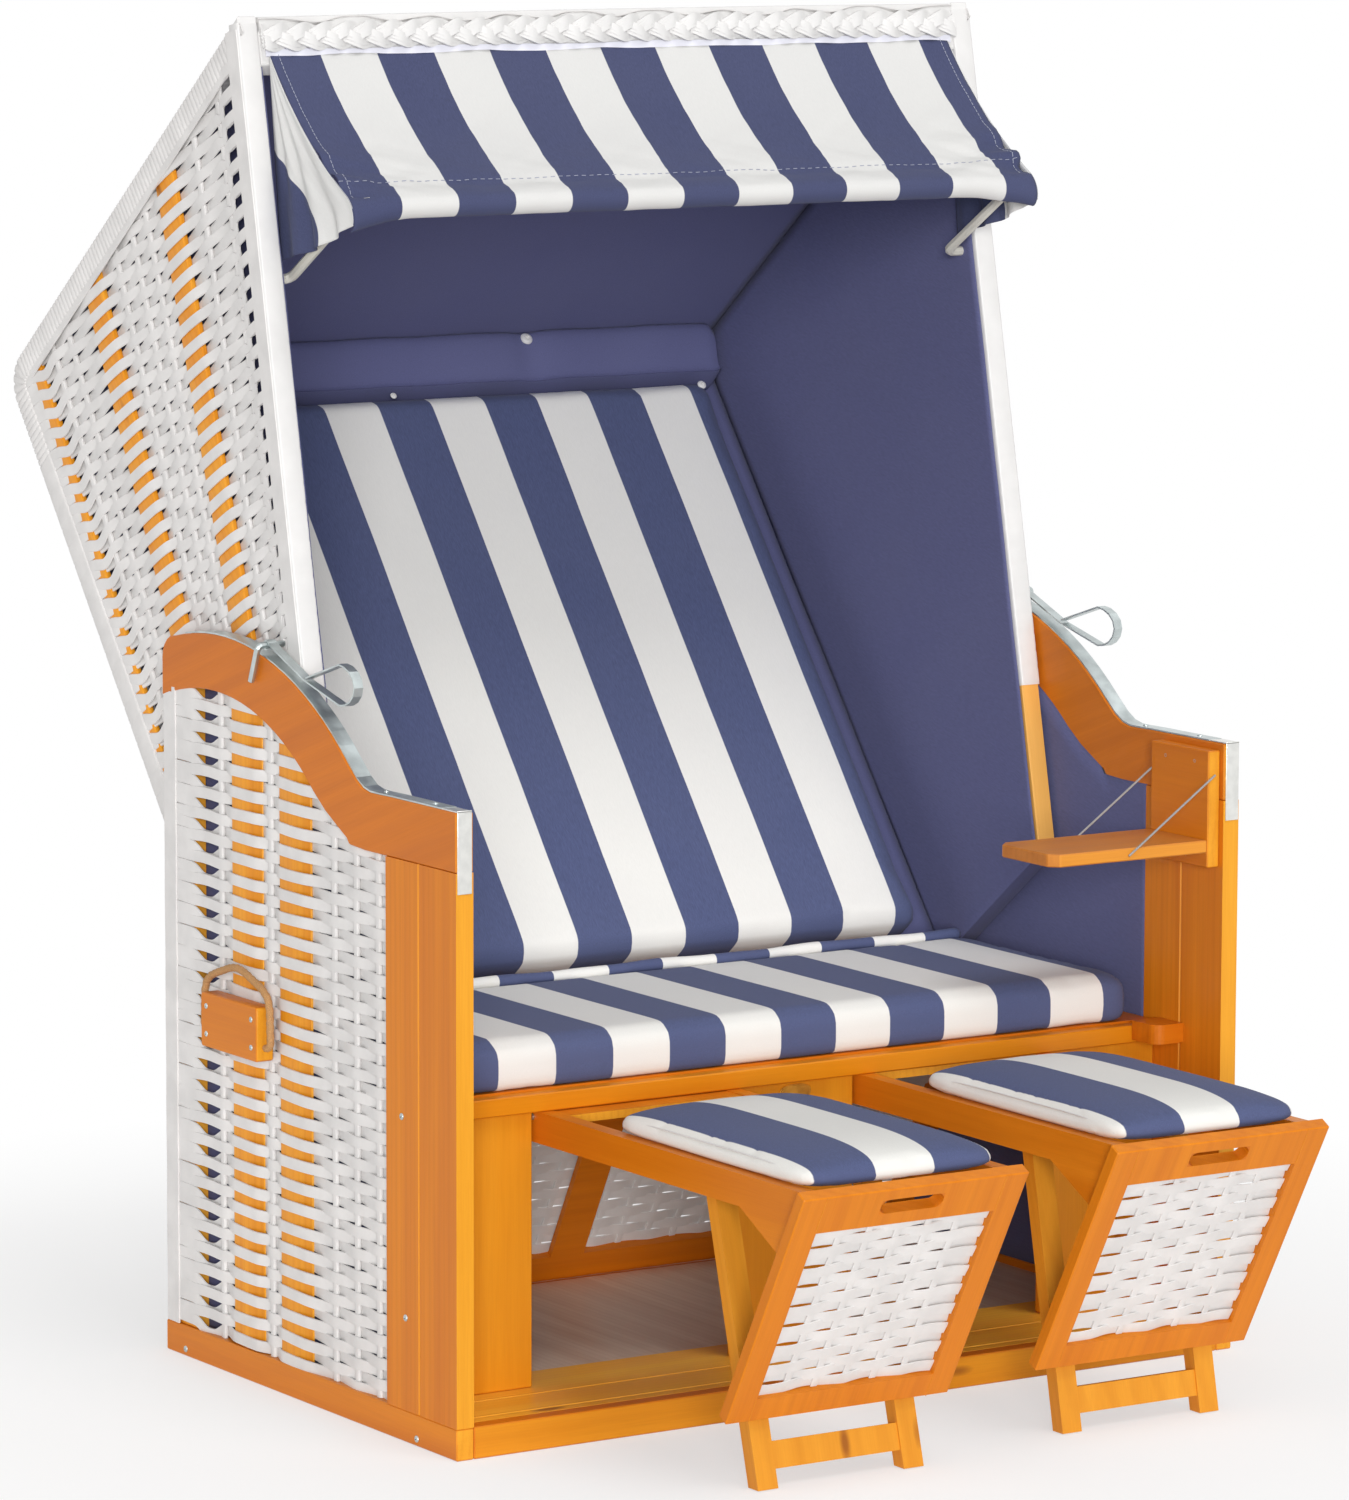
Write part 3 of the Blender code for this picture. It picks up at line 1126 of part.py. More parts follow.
def build_footrest_panel(word, centre, outline, paint, axis):
    """Front panel with a woven window and a hand slot above it."""
    thick = FOOT_PANEL_THICKNESS
    corners = [panel_line(0, 0), panel_line(FOOT_PANEL_LENGTH, 0),
               panel_line(FOOT_PANEL_LENGTH, thick), panel_line(0, thick)]
    half = FOOT_PANEL_WIDTH / 2
    panel = extrude("footrest_panel_" + word, outline(corners), centre - half,
                    centre + half, paint["wood"], axis)
    window = [panel_line(WINDOW_TOP, -OVERRUN), panel_line(WINDOW_LOW, -OVERRUN),
              panel_line(WINDOW_LOW, thick + OVERRUN),
              panel_line(WINDOW_TOP, thick + OVERRUN)]
    side = WINDOW_WIDTH / 2
    cut(panel, extrude("footrest_window_" + word, outline(window), centre - side,
                       centre + side, paint["wood"], axis, rounded=False))
    high = SLOT_DOWN - SLOT_HEIGHT / 2
    low = SLOT_DOWN + SLOT_HEIGHT / 2
    slot = [panel_line(high, -OVERRUN), panel_line(low, -OVERRUN),
            panel_line(low, thick + OVERRUN), panel_line(high, thick + OVERRUN)]
    cut(panel, extrude("footrest_slot_" + word, outline(slot),
                       centre - SLOT_WIDTH / 2, centre + SLOT_WIDTH / 2,
                       paint["wood"], axis, rounded=False))
    front = (thick - WEAVE_THICKNESS) / 2
    weave = [panel_line(WINDOW_TOP + GAP, front), panel_line(WINDOW_LOW - GAP, front),
             panel_line(WINDOW_LOW - GAP, front + WEAVE_THICKNESS),
             panel_line(WINDOW_TOP + GAP, front + WEAVE_THICKNESS)]
    extrude("footrest_weave_" + word, outline(weave), centre - side + GAP,
            centre + side - GAP, paint["wicker"], axis, rounded=False)


def build_footrest_legs(word, centre, pivot, foot, paint, frame_axis):
    """Folding leg frame: two legs, a low bar and a round eye at each top."""
    axis = add_axis("footrest_leg_axis_" + word, (centre, *pivot), frame_axis)
    foot = Vector(foot)
    top = Vector(pivot)
    way = (top - foot).normalized()
    across = Vector((way.y, -way.x))
    half = LEG_DEPTH / 2
    cut_half = half / way.y
    eye = [tuple(top + across * LEG_EYE_RADIUS * math.cos(angle)
                 + way * LEG_EYE_RADIUS * math.sin(angle))
           for angle in (math.pi * i / 6 for i in range(7))]
    leg = [(foot.x - cut_half, foot.y), (foot.x + cut_half, foot.y)] + eye
    outer = LEG_FRAME_WIDTH / 2
    legs = extrude("footrest_legs_" + word, leg, centre - outer,
                   centre - outer + LEG_WIDTH, paint["wood"], axis, rounded=False)
    other = extrude("footrest_leg_" + word, leg, centre + outer - LEG_WIDTH,
                    centre + outer, paint["wood"], axis, rounded=False)
    bar_ends = [foot + way * (height / way.y) for height in (LEG_BAR_LOW, LEG_BAR_HIGH)]
    deep = across * LEG_BAR_DEPTH / 2
    bar = [tuple(bar_ends[0] - deep), tuple(bar_ends[0] + deep),
           tuple(bar_ends[1] + deep), tuple(bar_ends[1] - deep)]
    lap = LEG_WIDTH / 2
    crossbar = extrude("footrest_leg_bar_" + word, bar, centre - outer + lap,
                       centre + outer - lap, paint["wood"], axis, rounded=False)
    join(legs, other)
    join(legs, crossbar)
    inner = FRAME_WIDTH / 2 - FRAME_BAR - GAP
    for turn, end in SIDES.items():
        boss_x = spans(end, outer - OVERRUN, inner)
        boss = cylinder_x("leg_boss_" + turn + "_" + word, pivot, LEG_BOSS_RADIUS,
                          centre + boss_x[0], centre + boss_x[1], paint["wood"], axis,
                          16)
        join(legs, boss)


def build_chair():
    """The whole chair."""
    clear_scene()
    paint = {
        "wood": make_material("honey_wood", (0.72, 0.30, 0.07), 0.42),
        "wicker": make_material("white_wicker", (0.80, 0.79, 0.77), 0.45),
        "stripe": make_material("striped_canvas", (0.74, 0.73, 0.69), 0.85),
        "lining": make_material("navy_canvas", (0.07, 0.08, 0.19), 0.85),
        "steel": make_material("zinc_steel", (0.62, 0.66, 0.66), 0.35, 1.0),
        "rope": make_material("natural_rope", (0.62, 0.38, 0.18), 0.9),
    }
    build_sides(paint)
    build_floor(paint)
    build_lower_front(paint)
    build_seat(paint)
    build_handles(paint)
    build_table(paint)
    build_flap(paint)
    hood = add_axis("hood_pivot", (0, PIVOT_Y, PIVOT_Z))
    build_hood_frame(paint, hood)
    build_lining(paint, hood)
    build_back_cushion(paint, hood)
    build_awning(paint, hood)
    build_bow(paint, hood)
    build_locks(paint, hood)
    for word, side in SIDES.items():
        build_footrest(word, side, paint)


build_chair()
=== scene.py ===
"""Looks of the two-seat hooded beach chair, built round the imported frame.

Metres, front towards -Y, right is +X. Outlines across X are (y, z) or, on the
leaning hood, (forward, above) from its pivot.
"""
import math

import bmesh
import bpy
import numpy as np
from mathutils import Matrix, Vector


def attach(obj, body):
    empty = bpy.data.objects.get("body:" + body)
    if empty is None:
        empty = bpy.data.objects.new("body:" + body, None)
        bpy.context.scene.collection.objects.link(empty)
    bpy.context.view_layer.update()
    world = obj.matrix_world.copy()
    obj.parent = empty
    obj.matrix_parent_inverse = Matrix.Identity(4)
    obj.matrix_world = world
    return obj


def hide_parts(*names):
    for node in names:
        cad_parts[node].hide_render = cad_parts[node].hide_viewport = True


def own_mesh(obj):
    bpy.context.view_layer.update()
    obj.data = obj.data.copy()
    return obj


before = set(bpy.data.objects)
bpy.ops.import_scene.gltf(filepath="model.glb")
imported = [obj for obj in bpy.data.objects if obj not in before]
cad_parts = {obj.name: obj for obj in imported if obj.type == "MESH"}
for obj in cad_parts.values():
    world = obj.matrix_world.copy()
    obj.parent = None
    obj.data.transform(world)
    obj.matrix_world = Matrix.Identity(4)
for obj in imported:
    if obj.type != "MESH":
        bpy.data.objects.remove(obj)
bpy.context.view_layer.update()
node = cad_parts
SIDES = {"left": -1, "right": 1}
HALF_DEPTH = 0.3525       # of the base


# ---------------------------------------------------------------- camera
def make_camera():
    """The photograph's camera."""
    az, el, roll = (math.radians(a) for a in (-32.6836, 7.9478, 0.1562))
    back = np.array([math.sin(az) * math.cos(el), -math.cos(az) * math.cos(el),
                     math.sin(el)])
    right = np.array([math.cos(az), math.sin(az), 0.0])
    up = np.cross(back, right)
    across = right * math.cos(roll) + up * math.sin(roll)
    upward = -right * math.sin(roll) + up * math.cos(roll)
    data = bpy.data.cameras.new("camera")
    data.sensor_fit, data.sensor_width, data.lens = "HORIZONTAL", 36.0, 189.04
    data.clip_start, data.clip_end = 0.5, 60
    camera = bpy.data.objects.new("camera", data)
    bpy.context.scene.collection.objects.link(camera)
    place = Matrix.Identity(4)
    for i, column in enumerate((across, upward, back, (-4.71324, -7.28440, 1.96734))):
        for j in range(3):
            place[j][i] = column[j]
    camera.matrix_world = place
    bpy.context.scene.camera = camera


make_camera()


# ---------------------------------------------------------------- materials
def material(name):
    """An empty node material and its shader."""
    made = bpy.data.materials.new(name)
    made.use_nodes = True
    tree = made.node_tree
    tree.nodes.clear()
    out = tree.nodes.new("ShaderNodeOutputMaterial")
    shader = tree.nodes.new("ShaderNodeBsdfPrincipled")
    tree.links.new(shader.outputs[0], out.inputs[0])
    return made, tree, shader


def add(tree, kind, **values):
    """A node with its settings."""
    made = tree.nodes.new(kind)
    for key, value in values.items():
        setattr(made, key, value)
    return made


def link(tree, a, b):
    tree.links.new(a, b)


def math_node(tree, operation, a, b=None):
    """Result of an operation on one or two numbers or sockets."""
    made = add(tree, "ShaderNodeMath", operation=operation)
    for i, value in enumerate((a, b)):
        if value is None:
            continue
        if isinstance(value, (int, float)):
            made.inputs[i].default_value = value
        else:
            link(tree, value, made.inputs[i])
    return made.outputs[0]


def mix(tree, factor, a, b):
    """Mix of two colours, given as sockets or as triples."""
    made = add(tree, "ShaderNodeMix", data_type="RGBA")
    sockets = {0: factor, 6: a, 7: b}
    for i, value in sockets.items():
        if isinstance(value, tuple):
            made.inputs[i].default_value = (*value, 1.0)
        elif isinstance(value, (int, float)):
            made.inputs[i].default_value = value
        else:
            link(tree, value, made.inputs[i])
    return made.outputs[2]


def ramp(tree, value, low, high, to_low=0.0, to_high=1.0):
    """A value moved from one range to another and clamped."""
    made = add(tree, "ShaderNodeMapRange")
    link(tree, value, made.inputs[0])
    for i, number in enumerate((low, high, to_low, to_high)):
        made.inputs[i + 1].default_value = number
    return made.outputs[0]


def noise(tree, vector, scale, detail=2.0, rough=0.5):
    """Value of a noise texture, about 0.2 to 0.8."""
    made = add(tree, "ShaderNodeTexNoise")
    made.inputs["Scale"].default_value = scale
    made.inputs["Detail"].default_value = detail
    made.inputs["Roughness"].default_value = rough
    link(tree, vector, made.inputs["Vector"])
    return made.outputs[0]


def stretched(tree, along, scale):
    """Object coordinates turned so that a direction is X, then scaled."""
    turn = Vector(along).normalized().rotation_difference(Vector((1, 0, 0)))
    place = add(tree, "ShaderNodeTexCoord")
    first = add(tree, "ShaderNodeMapping")
    first.inputs["Rotation"].default_value = turn.to_euler()
    second = add(tree, "ShaderNodeMapping")
    second.inputs["Scale"].default_value = scale
    link(tree, place.outputs["Object"], first.inputs[0])
    link(tree, first.outputs[0], second.inputs[0])
    return second.outputs[0]


def bump(tree, shader, height, strength, distance):
    """Puts a height on a shader's normal."""
    made = add(tree, "ShaderNodeBump")
    made.inputs["Strength"].default_value = strength
    made.inputs["Distance"].default_value = distance
    link(tree, height, made.inputs["Height"])
    link(tree, made.outputs[0], shader.inputs["Normal"])


def wood(name, along, dark=(0.66, 0.182, 0.005), light=(0.80, 0.262, 0.012), front=None):
    """Varnished honey-coloured softwood with its grain along a direction.

    front is a lighter tone painted on faces that point towards front and back: painted
    light, where those faces catch more light.
    """
    made, tree, shader = material(name)
    place = add(tree, "ShaderNodeTexCoord")
    streaks = noise(tree, stretched(tree, along, (1.4, 34, 34)), 1.0, 4.0, 0.55)
    broad = noise(tree, stretched(tree, along, (0.9, 9, 9)), 1.0, 2.0)
    fibres = noise(tree, stretched(tree, along, (16, 560, 560)), 1.0, 2.0)
    rings = add(tree, "ShaderNodeTexWave", wave_type="BANDS", bands_direction="Y")
    rings.inputs["Scale"].default_value = 0.62
    rings.inputs["Distortion"].default_value = 6.0
    rings.inputs["Detail"].default_value = 2.0
    rings.inputs["Detail Scale"].default_value = 0.35
    link(tree, stretched(tree, along, (1.0, 46, 46)), rings.inputs["Vector"])
    cells = add(tree, "ShaderNodeTexVoronoi")
    cells.inputs["Scale"].default_value = 1.0
    link(tree, stretched(tree, along, (2.6, 8.5, 8.5)), cells.inputs["Vector"])
    knot = ramp(tree, cells.outputs["Distance"], 0.035, 0.075, 1.0, 0.0)
    grain = ramp(tree, streaks, 0.30, 0.70)
    tone = mix(tree, grain, dark, light)
    # painted light: faces whose normal points towards front or back are mixed towards the
    # lighter front tone
    if front:
        face = add(tree, "ShaderNodeSeparateXYZ")
        link(tree, place.outputs["Normal"], face.inputs[0])
        across = ramp(tree, math_node(tree, "ABSOLUTE", face.outputs["Y"]), 0.6, 0.9,
                      0.0, 0.9)
        painted_light_tone = mix(tree, grain, (0.90 * front[0], 0.84 * front[1], 0.7 * front[2]),
                    front)
        tone = mix(tree, across, tone, painted_light_tone)
    deep = (0.72 * dark[0], 0.62 * dark[1], 0.6 * dark[2])
    tone = mix(tree, ramp(tree, rings.outputs["Fac"], 0.5, 1.0, 0.0, 0.13), tone, deep)
    tone = mix(tree, ramp(tree, broad, 0.30, 0.75, 0.16, 0.0), tone, deep)
    tone = mix(tree, ramp(tree, fibres, 0.35, 0.75, 0.0, 0.14), tone, deep)
    tone = mix(tree, math_node(tree, "MULTIPLY", knot, 0.75), tone, (0.22, 0.05, 0.008))
    link(tree, tone, shader.inputs["Base Color"])
    link(tree, ramp(tree, streaks, 0.2, 0.8, 0.36, 0.50), shader.inputs["Roughness"])
    shader.inputs["Specular IOR Level"].default_value = 0.20
    shader.inputs["Coat Weight"].default_value = 0.08
    shader.inputs["Coat Roughness"].default_value = 0.30
    bump(tree, shader, fibres, 0.20, 0.0006)
    return made


LEAN = math.radians(38.0)
UP_HOOD = (0.0, math.sin(LEAN), math.cos(LEAN))
ON_POST = math.radians(38.0 - 26.64)
# lighter tone painted as light on wood faces towards front and back
PAINTED_LIGHT_FACE_TONE = (0.86, 0.41, 0.030)
AMBER = ((0.70, 0.215, 0.004), (0.82, 0.300, 0.010))
# the front tones below are painted light on faces towards front and back
WOOD = {
    "x": wood("honey_wood_x", (1, 0, 0), (0.60, 0.150, 0.004), (0.74, 0.215, 0.007)),
    "y": wood("honey_wood_y", (0, 1, 0), front=PAINTED_LIGHT_FACE_TONE),
    "z": wood("honey_wood_z", (0, 0, 1), front=PAINTED_LIGHT_FACE_TONE),
    "red": wood("honey_wood_deep", (1, 0, 0), (0.60, 0.140, 0.004),
                (0.76, 0.225, 0.010), front=(0.80, 0.330, 0.015)),
    "arm": wood("honey_wood_arm", (0, 1, -0.35), (0.58, 0.150, 0.006),
                (0.72, 0.205, 0.012), front=PAINTED_LIGHT_FACE_TONE),
    "pale": wood("honey_wood_pale", (0, 0, 1), *AMBER, front=(0.82, 0.345, 0.016)),
    "pale_x": wood("honey_wood_pale_x", (1, 0, 0), *AMBER, front=(0.80, 0.300, 0.008)),
    "legs": wood("honey_wood_legs", (0, 0.3, 1), (0.68, 0.235, 0.012),
                 (0.80, 0.340, 0.030), front=(0.80, 0.350, 0.030)),
    "table": wood("honey_wood_table", (1, 0, 0), (0.56, 0.190, 0.030),
                  (0.68, 0.255, 0.048), front=(0.84, 0.350, 0.040)),
    "post": wood("honey_wood_post", (0, math.sin(ON_POST), math.cos(ON_POST)),
                 (0.80, 0.390, 0.080), (0.90, 0.500, 0.130)),
    "slat": wood("honey_wood_slat", UP_HOOD, (0.80, 0.280, 0.012), (0.92, 0.400, 0.030)),
    "slat_z": wood("honey_wood_slat_z", (0, 0, 1), (0.80, 0.280, 0.012),
                   (0.92, 0.400, 0.030), front=(0.95, 0.480, 0.060)),
    "panel": wood("honey_wood_panel", (0, -0.485, 0.875), (0.66, 0.185, 0.005),
                  (0.78, 0.250, 0.010)),
    "deck": wood("honey_wood_deck", (1, 0, 0), (0.92, 0.420, 0.030), (0.98, 0.540, 0.060)),
    "ply": wood("honey_wood_ply", (0, 1, 0), (0.70, 0.56, 0.44), (0.88, 0.77, 0.65)),
}


def plastic(name, tone, shade=0.86):
    """Semi-gloss woven plastic strip."""
    made, tree, shader = material(name)
    place = stretched(tree, (0, 1, 0), (1, 1, 1))
    grime = noise(tree, place, 26.0, 3.0)
    fine = noise(tree, place, 420.0, 2.0)
    dark = tuple(shade * c for c in tone)
    colour = mix(tree, ramp(tree, grime, 0.35, 0.7), dark, tone)
    link(tree, mix(tree, ramp(tree, fine, 0.4, 0.8, 0.0, 0.15), colour, dark),
         shader.inputs["Base Color"])
    link(tree, ramp(tree, grime, 0.3, 0.7, 0.30, 0.42), shader.inputs["Roughness"])
    shader.inputs["Specular IOR Level"].default_value = 0.4
    bump(tree, shader, fine, 0.12, 0.0004)
    return made


STRIP = plastic("white_strip", (0.77, 0.75, 0.735), 0.88)
BRAID = plastic("white_braid", (0.74, 0.73, 0.72), 0.94)
TAPE = plastic("white_tape", (0.80, 0.80, 0.88), 0.95)
WHITE = (0.87, 0.86, 0.82)
NAVY = (0.082, 0.100, 0.205)
# navy of the lining: partly the cloth's own colour, partly painted light, made lighter than
# NAVY for the shade inside the hood and behind the weave
LINING_NAVY_WITH_PAINTED_LIGHT = (0.112, 0.118, 0.244)
SEAT_WHITE = (0.835, 0.827, 0.79)
THREAD = (0.36, 0.38, 0.48)


def canvas(name, start=None, pitch=0.0805, odd=0, across="X", along=(0, 1, 0.3),
           white=WHITE, blue=NAVY):
    """Woven canvas, plain navy or with navy and white stripes across an axis."""
    made, tree, shader = material(name)
    threads = noise(tree, stretched(tree, along, (120, 1500, 1500)), 1.0, 2.0)
    cloud = noise(tree, stretched(tree, along, (6, 6, 6)), 1.0, 2.0)
    place = add(tree, "ShaderNodeTexCoord")
    parts = add(tree, "ShaderNodeSeparateXYZ")
    link(tree, place.outputs["Object"], parts.inputs[0])
    navy = mix(tree, ramp(tree, threads, 0.25, 0.75), tuple(0.80 * c for c in blue),
               tuple(1.24 * c for c in blue))
    white = mix(tree, ramp(tree, threads, 0.3, 0.7), tuple(0.95 * c for c in white), white)
    if start is None:
        # plain lining navy, its lift over NAVY partly painted light
        colour = mix(tree, ramp(tree, threads, 0.25, 0.75), tuple(0.86 * c for c in LINING_NAVY_WITH_PAINTED_LIGHT),
                     tuple(1.18 * c for c in LINING_NAVY_WITH_PAINTED_LIGHT))
    else:
        if across == "stripe":
            found = add(tree, "ShaderNodeAttribute", attribute_name="stripe")
            value = found.outputs["Fac"]
        else:
            value = parts.outputs[across]
        wavy = noise(tree, stretched(tree, along, (5, 5, 5)), 1.0, 2.0)
        value = math_node(tree, "ADD", value, ramp(tree, wavy, 0.0, 1.0, -0.0016, 0.0016))
        share = math_node(tree, "DIVIDE", math_node(tree, "SUBTRACT", value, start),
                          2 * pitch)
        half = math_node(tree, "FRACT", math_node(tree, "ADD", share, 0.5 * odd))
        edge = ramp(tree, math_node(tree, "ABSOLUTE",
                                    math_node(tree, "SUBTRACT", half, 0.25)),
                    0.247, 0.253, 0.0, 1.0)
        colour = mix(tree, edge, white, navy)
    colour = mix(tree, ramp(tree, cloud, 0.3, 0.7, 0.0, 0.05), colour, (0.22, 0.23, 0.30))
    link(tree, colour, shader.inputs["Base Color"])
    link(tree, ramp(tree, threads, 0.3, 0.7, 0.82, 0.94), shader.inputs["Roughness"])
    shader.inputs["Sheen Weight"].default_value = 0.06
    shader.inputs["Sheen Roughness"].default_value = 0.5
    shader.inputs["Specular IOR Level"].default_value = 0.15
    bump(tree, shader, threads, 0.35, 0.0005)
    return made


NAVY_CLOTH = canvas("navy_lining")
BACK_CLOTH = canvas("striped_back", 0.0105, along=UP_HOOD)
HEM_CLOTH = canvas("striped_hem", 0.0324)
SEAT_CLOTH = canvas("striped_seat", 0.0625, white=SEAT_WHITE)
STITCH = plastic("sewing_thread", THREAD)
AWNING_CLOTH = canvas("striped_awning", -0.4275, 0.08, across="stripe",
                      along=(0, -0.75, -0.66), white=(0.70, 0.695, 0.68),
                      blue=(0.058, 0.067, 0.140))


def metal(name, tone, rough, mottled=40.0, across=0.75):
    """Metal with a mottled skin."""
    made, tree, shader = material(name)
    spots = noise(tree, stretched(tree, (0, 1, 0), (1, 1, 1)), mottled, 4.0)
    fine = noise(tree, stretched(tree, (0, 1, 0), (1, 1, 1)), 700.0, 1.0)
    link(tree, mix(tree, ramp(tree, spots, 0.35, 0.65), tuple(across * c for c in tone),
                   tone), shader.inputs["Base Color"])
    link(tree, ramp(tree, spots, 0.3, 0.7, rough, rough + 0.14),
         shader.inputs["Roughness"])
    shader.inputs["Metallic"].default_value = 0.9
    bump(tree, shader, fine, 0.10, 0.0003)
    return made


STEEL = metal("zinc_steel", (0.60, 0.66, 0.66), 0.30)
ALU = metal("aluminium", (0.80, 0.80, 0.77), 0.32, 90.0, 0.9)
BRASS = metal("brass", (0.78, 0.44, 0.07), 0.34, 60.0)


def fibrous(name, tone):
    """Twisted fibre rope."""
    made, tree, shader = material(name)
    fine = noise(tree, stretched(tree, (0, 1, 0), (1, 1, 1)), 900.0, 3.0)
    cloud = noise(tree, stretched(tree, (0, 1, 0), (1, 1, 1)), 60.0, 2.0)
    colour = mix(tree, ramp(tree, fine, 0.3, 0.7), tuple(0.55 * c for c in tone), tone)
    link(tree, mix(tree, ramp(tree, cloud, 0.4, 0.8, 0, 0.3), colour,
                   tuple(0.5 * c for c in tone)), shader.inputs["Base Color"])
    link(tree, ramp(tree, fine, 0.2, 0.8, 0.75, 0.95), shader.inputs["Roughness"])
    bump(tree, shader, fine, 0.5, 0.0006)
    return made


ROPE = fibrous("natural_rope", (0.62, 0.33, 0.13))
GREY_CORD = fibrous("grey_cord", (0.42, 0.41, 0.40))


# ---------------------------------------------------------------- mesh tools
class Shape:
    """Points and faces of one piece, gathered from many parts."""

    def __init__(self):
        self.points, self.faces, self.count = [], [], 0

    def add(self, points, faces):
        points = np.asarray(points, float).reshape(-1, 3)
        self.points.append(points)
        self.faces += [tuple(int(i) + self.count for i in face) for face in faces]
        self.count += len(points)

    def sweep(self, path, normal, section):
        """A section of (width, height) points, or one for each point, along a path."""
        path = np.asarray(path, float)
        n = len(path)
        normal = np.broadcast_to(np.asarray(normal, float), (n, 3))
        way = np.gradient(path, axis=0)
        way = way / np.linalg.norm(way, axis=1)[:, None]
        wide = np.cross(normal, way)
        wide /= np.linalg.norm(wide, axis=1)[:, None]
        out = np.cross(way, wide)
        section = np.asarray(section, float)
        section = np.broadcast_to(section, (n, *section.shape[-2:]))
        m = section.shape[1]
        points = (path[:, None] + section[..., :1] * wide[:, None]
                  + section[..., 1:] * out[:, None])
        i = np.arange(n - 1)[:, None] * m
        k = np.arange(m)[None, :]
        k2, j = (k + 1) % m, i + m
        quads = np.stack([i + k, i + k2, j + k2, j + k], -1).reshape(-1, 4).tolist()
        quads += [tuple(range(m - 1, -1, -1)), tuple(range((n - 1) * m, n * m))]
        self.add(points.reshape(-1, 3), quads)

    def grid(self, points):
        """An open grid of points, rows by columns."""
        points = np.asarray(points, float)
        rows, columns = points.shape[:2]
        i = np.arange(rows - 1)[:, None] * columns
        k = np.arange(columns - 1)[None, :]
        quads = np.stack([i + k, i + k + 1, i + k + columns + 1, i + k + columns], -1)
        self.add(points.reshape(-1, 3), quads.reshape(-1, 4).tolist())

    def prism(self, outline, low, high, place):
        """A flat outline of (a, b) points between two depths."""
        outline = np.asarray(outline, float)
        m = len(outline)
        low, high = np.broadcast_to(low, m), np.broadcast_to(high, m)
        points = [place(a, b, c) for (a, b), c in zip(outline, low)]
        points += [place(a, b, c) for (a, b), c in zip(outline, high)]
        faces = [(k, (k + 1) % m, m + (k + 1) % m, m + k) for k in range(m)]
        faces += [tuple(range(m - 1, -1, -1)), tuple(range(m, 2 * m))]
        self.add(points, faces)

    def make(self, name, skin, body, slot=None, sharp=40.0, bevel=0.0, thick=0.0):
        """The piece itself, riding on a body."""
        mesh = bpy.data.meshes.new(name)
        mesh.from_pydata(np.concatenate(self.points).tolist(), [], self.faces)
        work = bmesh.new()
        work.from_mesh(mesh)
        bmesh.ops.recalc_face_normals(work, faces=work.faces)
        work.to_mesh(mesh)
        work.free()
        mesh.materials.append(skin)
        mesh.shade_smooth()
        mesh.set_sharp_from_angle(angle=math.radians(sharp))
        piece = bpy.data.objects.new(name, mesh)
        bpy.context.scene.collection.objects.link(piece)
        if thick:
            step = piece.modifiers.new("thickness", "SOLIDIFY")
            step.thickness, step.offset = thick, 0
        if bevel:
            step = piece.modifiers.new("edge", "BEVEL")
            step.width, step.segments, step.limit_method = bevel, 2, "ANGLE"
        if body:
            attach(piece, body)
        return piece


def apply_steps(piece):
    """Applies a piece's modifiers to its mesh."""
    graph = bpy.context.evaluated_depsgraph_get()
    graph.update()
    mesh = bpy.data.meshes.new_from_object(piece.evaluated_get(graph))
    piece.modifiers.clear()
    piece.data = mesh


def flat_strip(width, thick):
    """Section of a flat strip with eased edges, its middle at the origin."""
    w, t = width / 2, thick / 2
    return np.array([(-w, -t), (-w * 0.92, t), (0, t * 1.12), (w * 0.92, t), (w, -t)])


def rounded_box(w0, w1, h0, h1, r, steps=3):
    """Section of a box with rounded corners."""
    points = []
    for cx, cy, start in ((w1 - r, h1 - r, 0), (w0 + r, h1 - r, 90),
                          (w0 + r, h0 + r, 180), (w1 - r, h0 + r, 270)):
        for i in range(steps + 1):
            angle = math.radians(start + 90 * i / steps)
            points.append((cx + r * math.cos(angle), cy + r * math.sin(angle)))
    return np.array(points)


def rope_section(radius, turn, strands=3, steps=18):
    """Sections of a laid rope, one for each turn angle."""
    angle = np.linspace(0, 2 * math.pi, steps, endpoint=False)[None, :]
    r = radius * (0.86 + 0.14 * np.abs(np.cos(strands / 2 * (angle - turn[:, None]))))
    return np.stack([r * np.cos(angle), r * np.sin(angle)], -1)


def resample(path, step):
    """The same path in even steps."""
    path = np.asarray(path, float)
    run = np.concatenate([[0], np.cumsum(np.linalg.norm(np.diff(path, axis=0), axis=1))])
    count = max(2, int(round(run[-1] / step)) + 1)
    at = np.linspace(0, run[-1], count)
    return np.stack([np.interp(at, run, path[:, i]) for i in range(path.shape[1])], 1)


def length_of(path):
    """Length of a path of points."""
    return float(np.linalg.norm(np.diff(np.asarray(path, float), axis=0), axis=1).sum())


# ---------------------------------------------------------------- cords
def smooth(points, steps):
    """A rounded path through points, as in the part's source."""
    path = []
    ends = [points[0]] + list(points) + [points[-1]]
    for i in range(1, len(ends) - 2):
        p0, p1, p2, p3 = (np.array(ends[i + k], float) for k in (-1, 0, 1, 2))
        for k in range(steps):
            t = k / steps
            path.append(0.5 * (2 * p1 + (p2 - p0) * t + (2 * p0 - 5 * p1 + 4 * p2 - p3)
                               * t * t + (3 * p1 - p0 - 3 * p2 + p3) * t ** 3))
    path.append(np.array(points[-1], float))
    return path


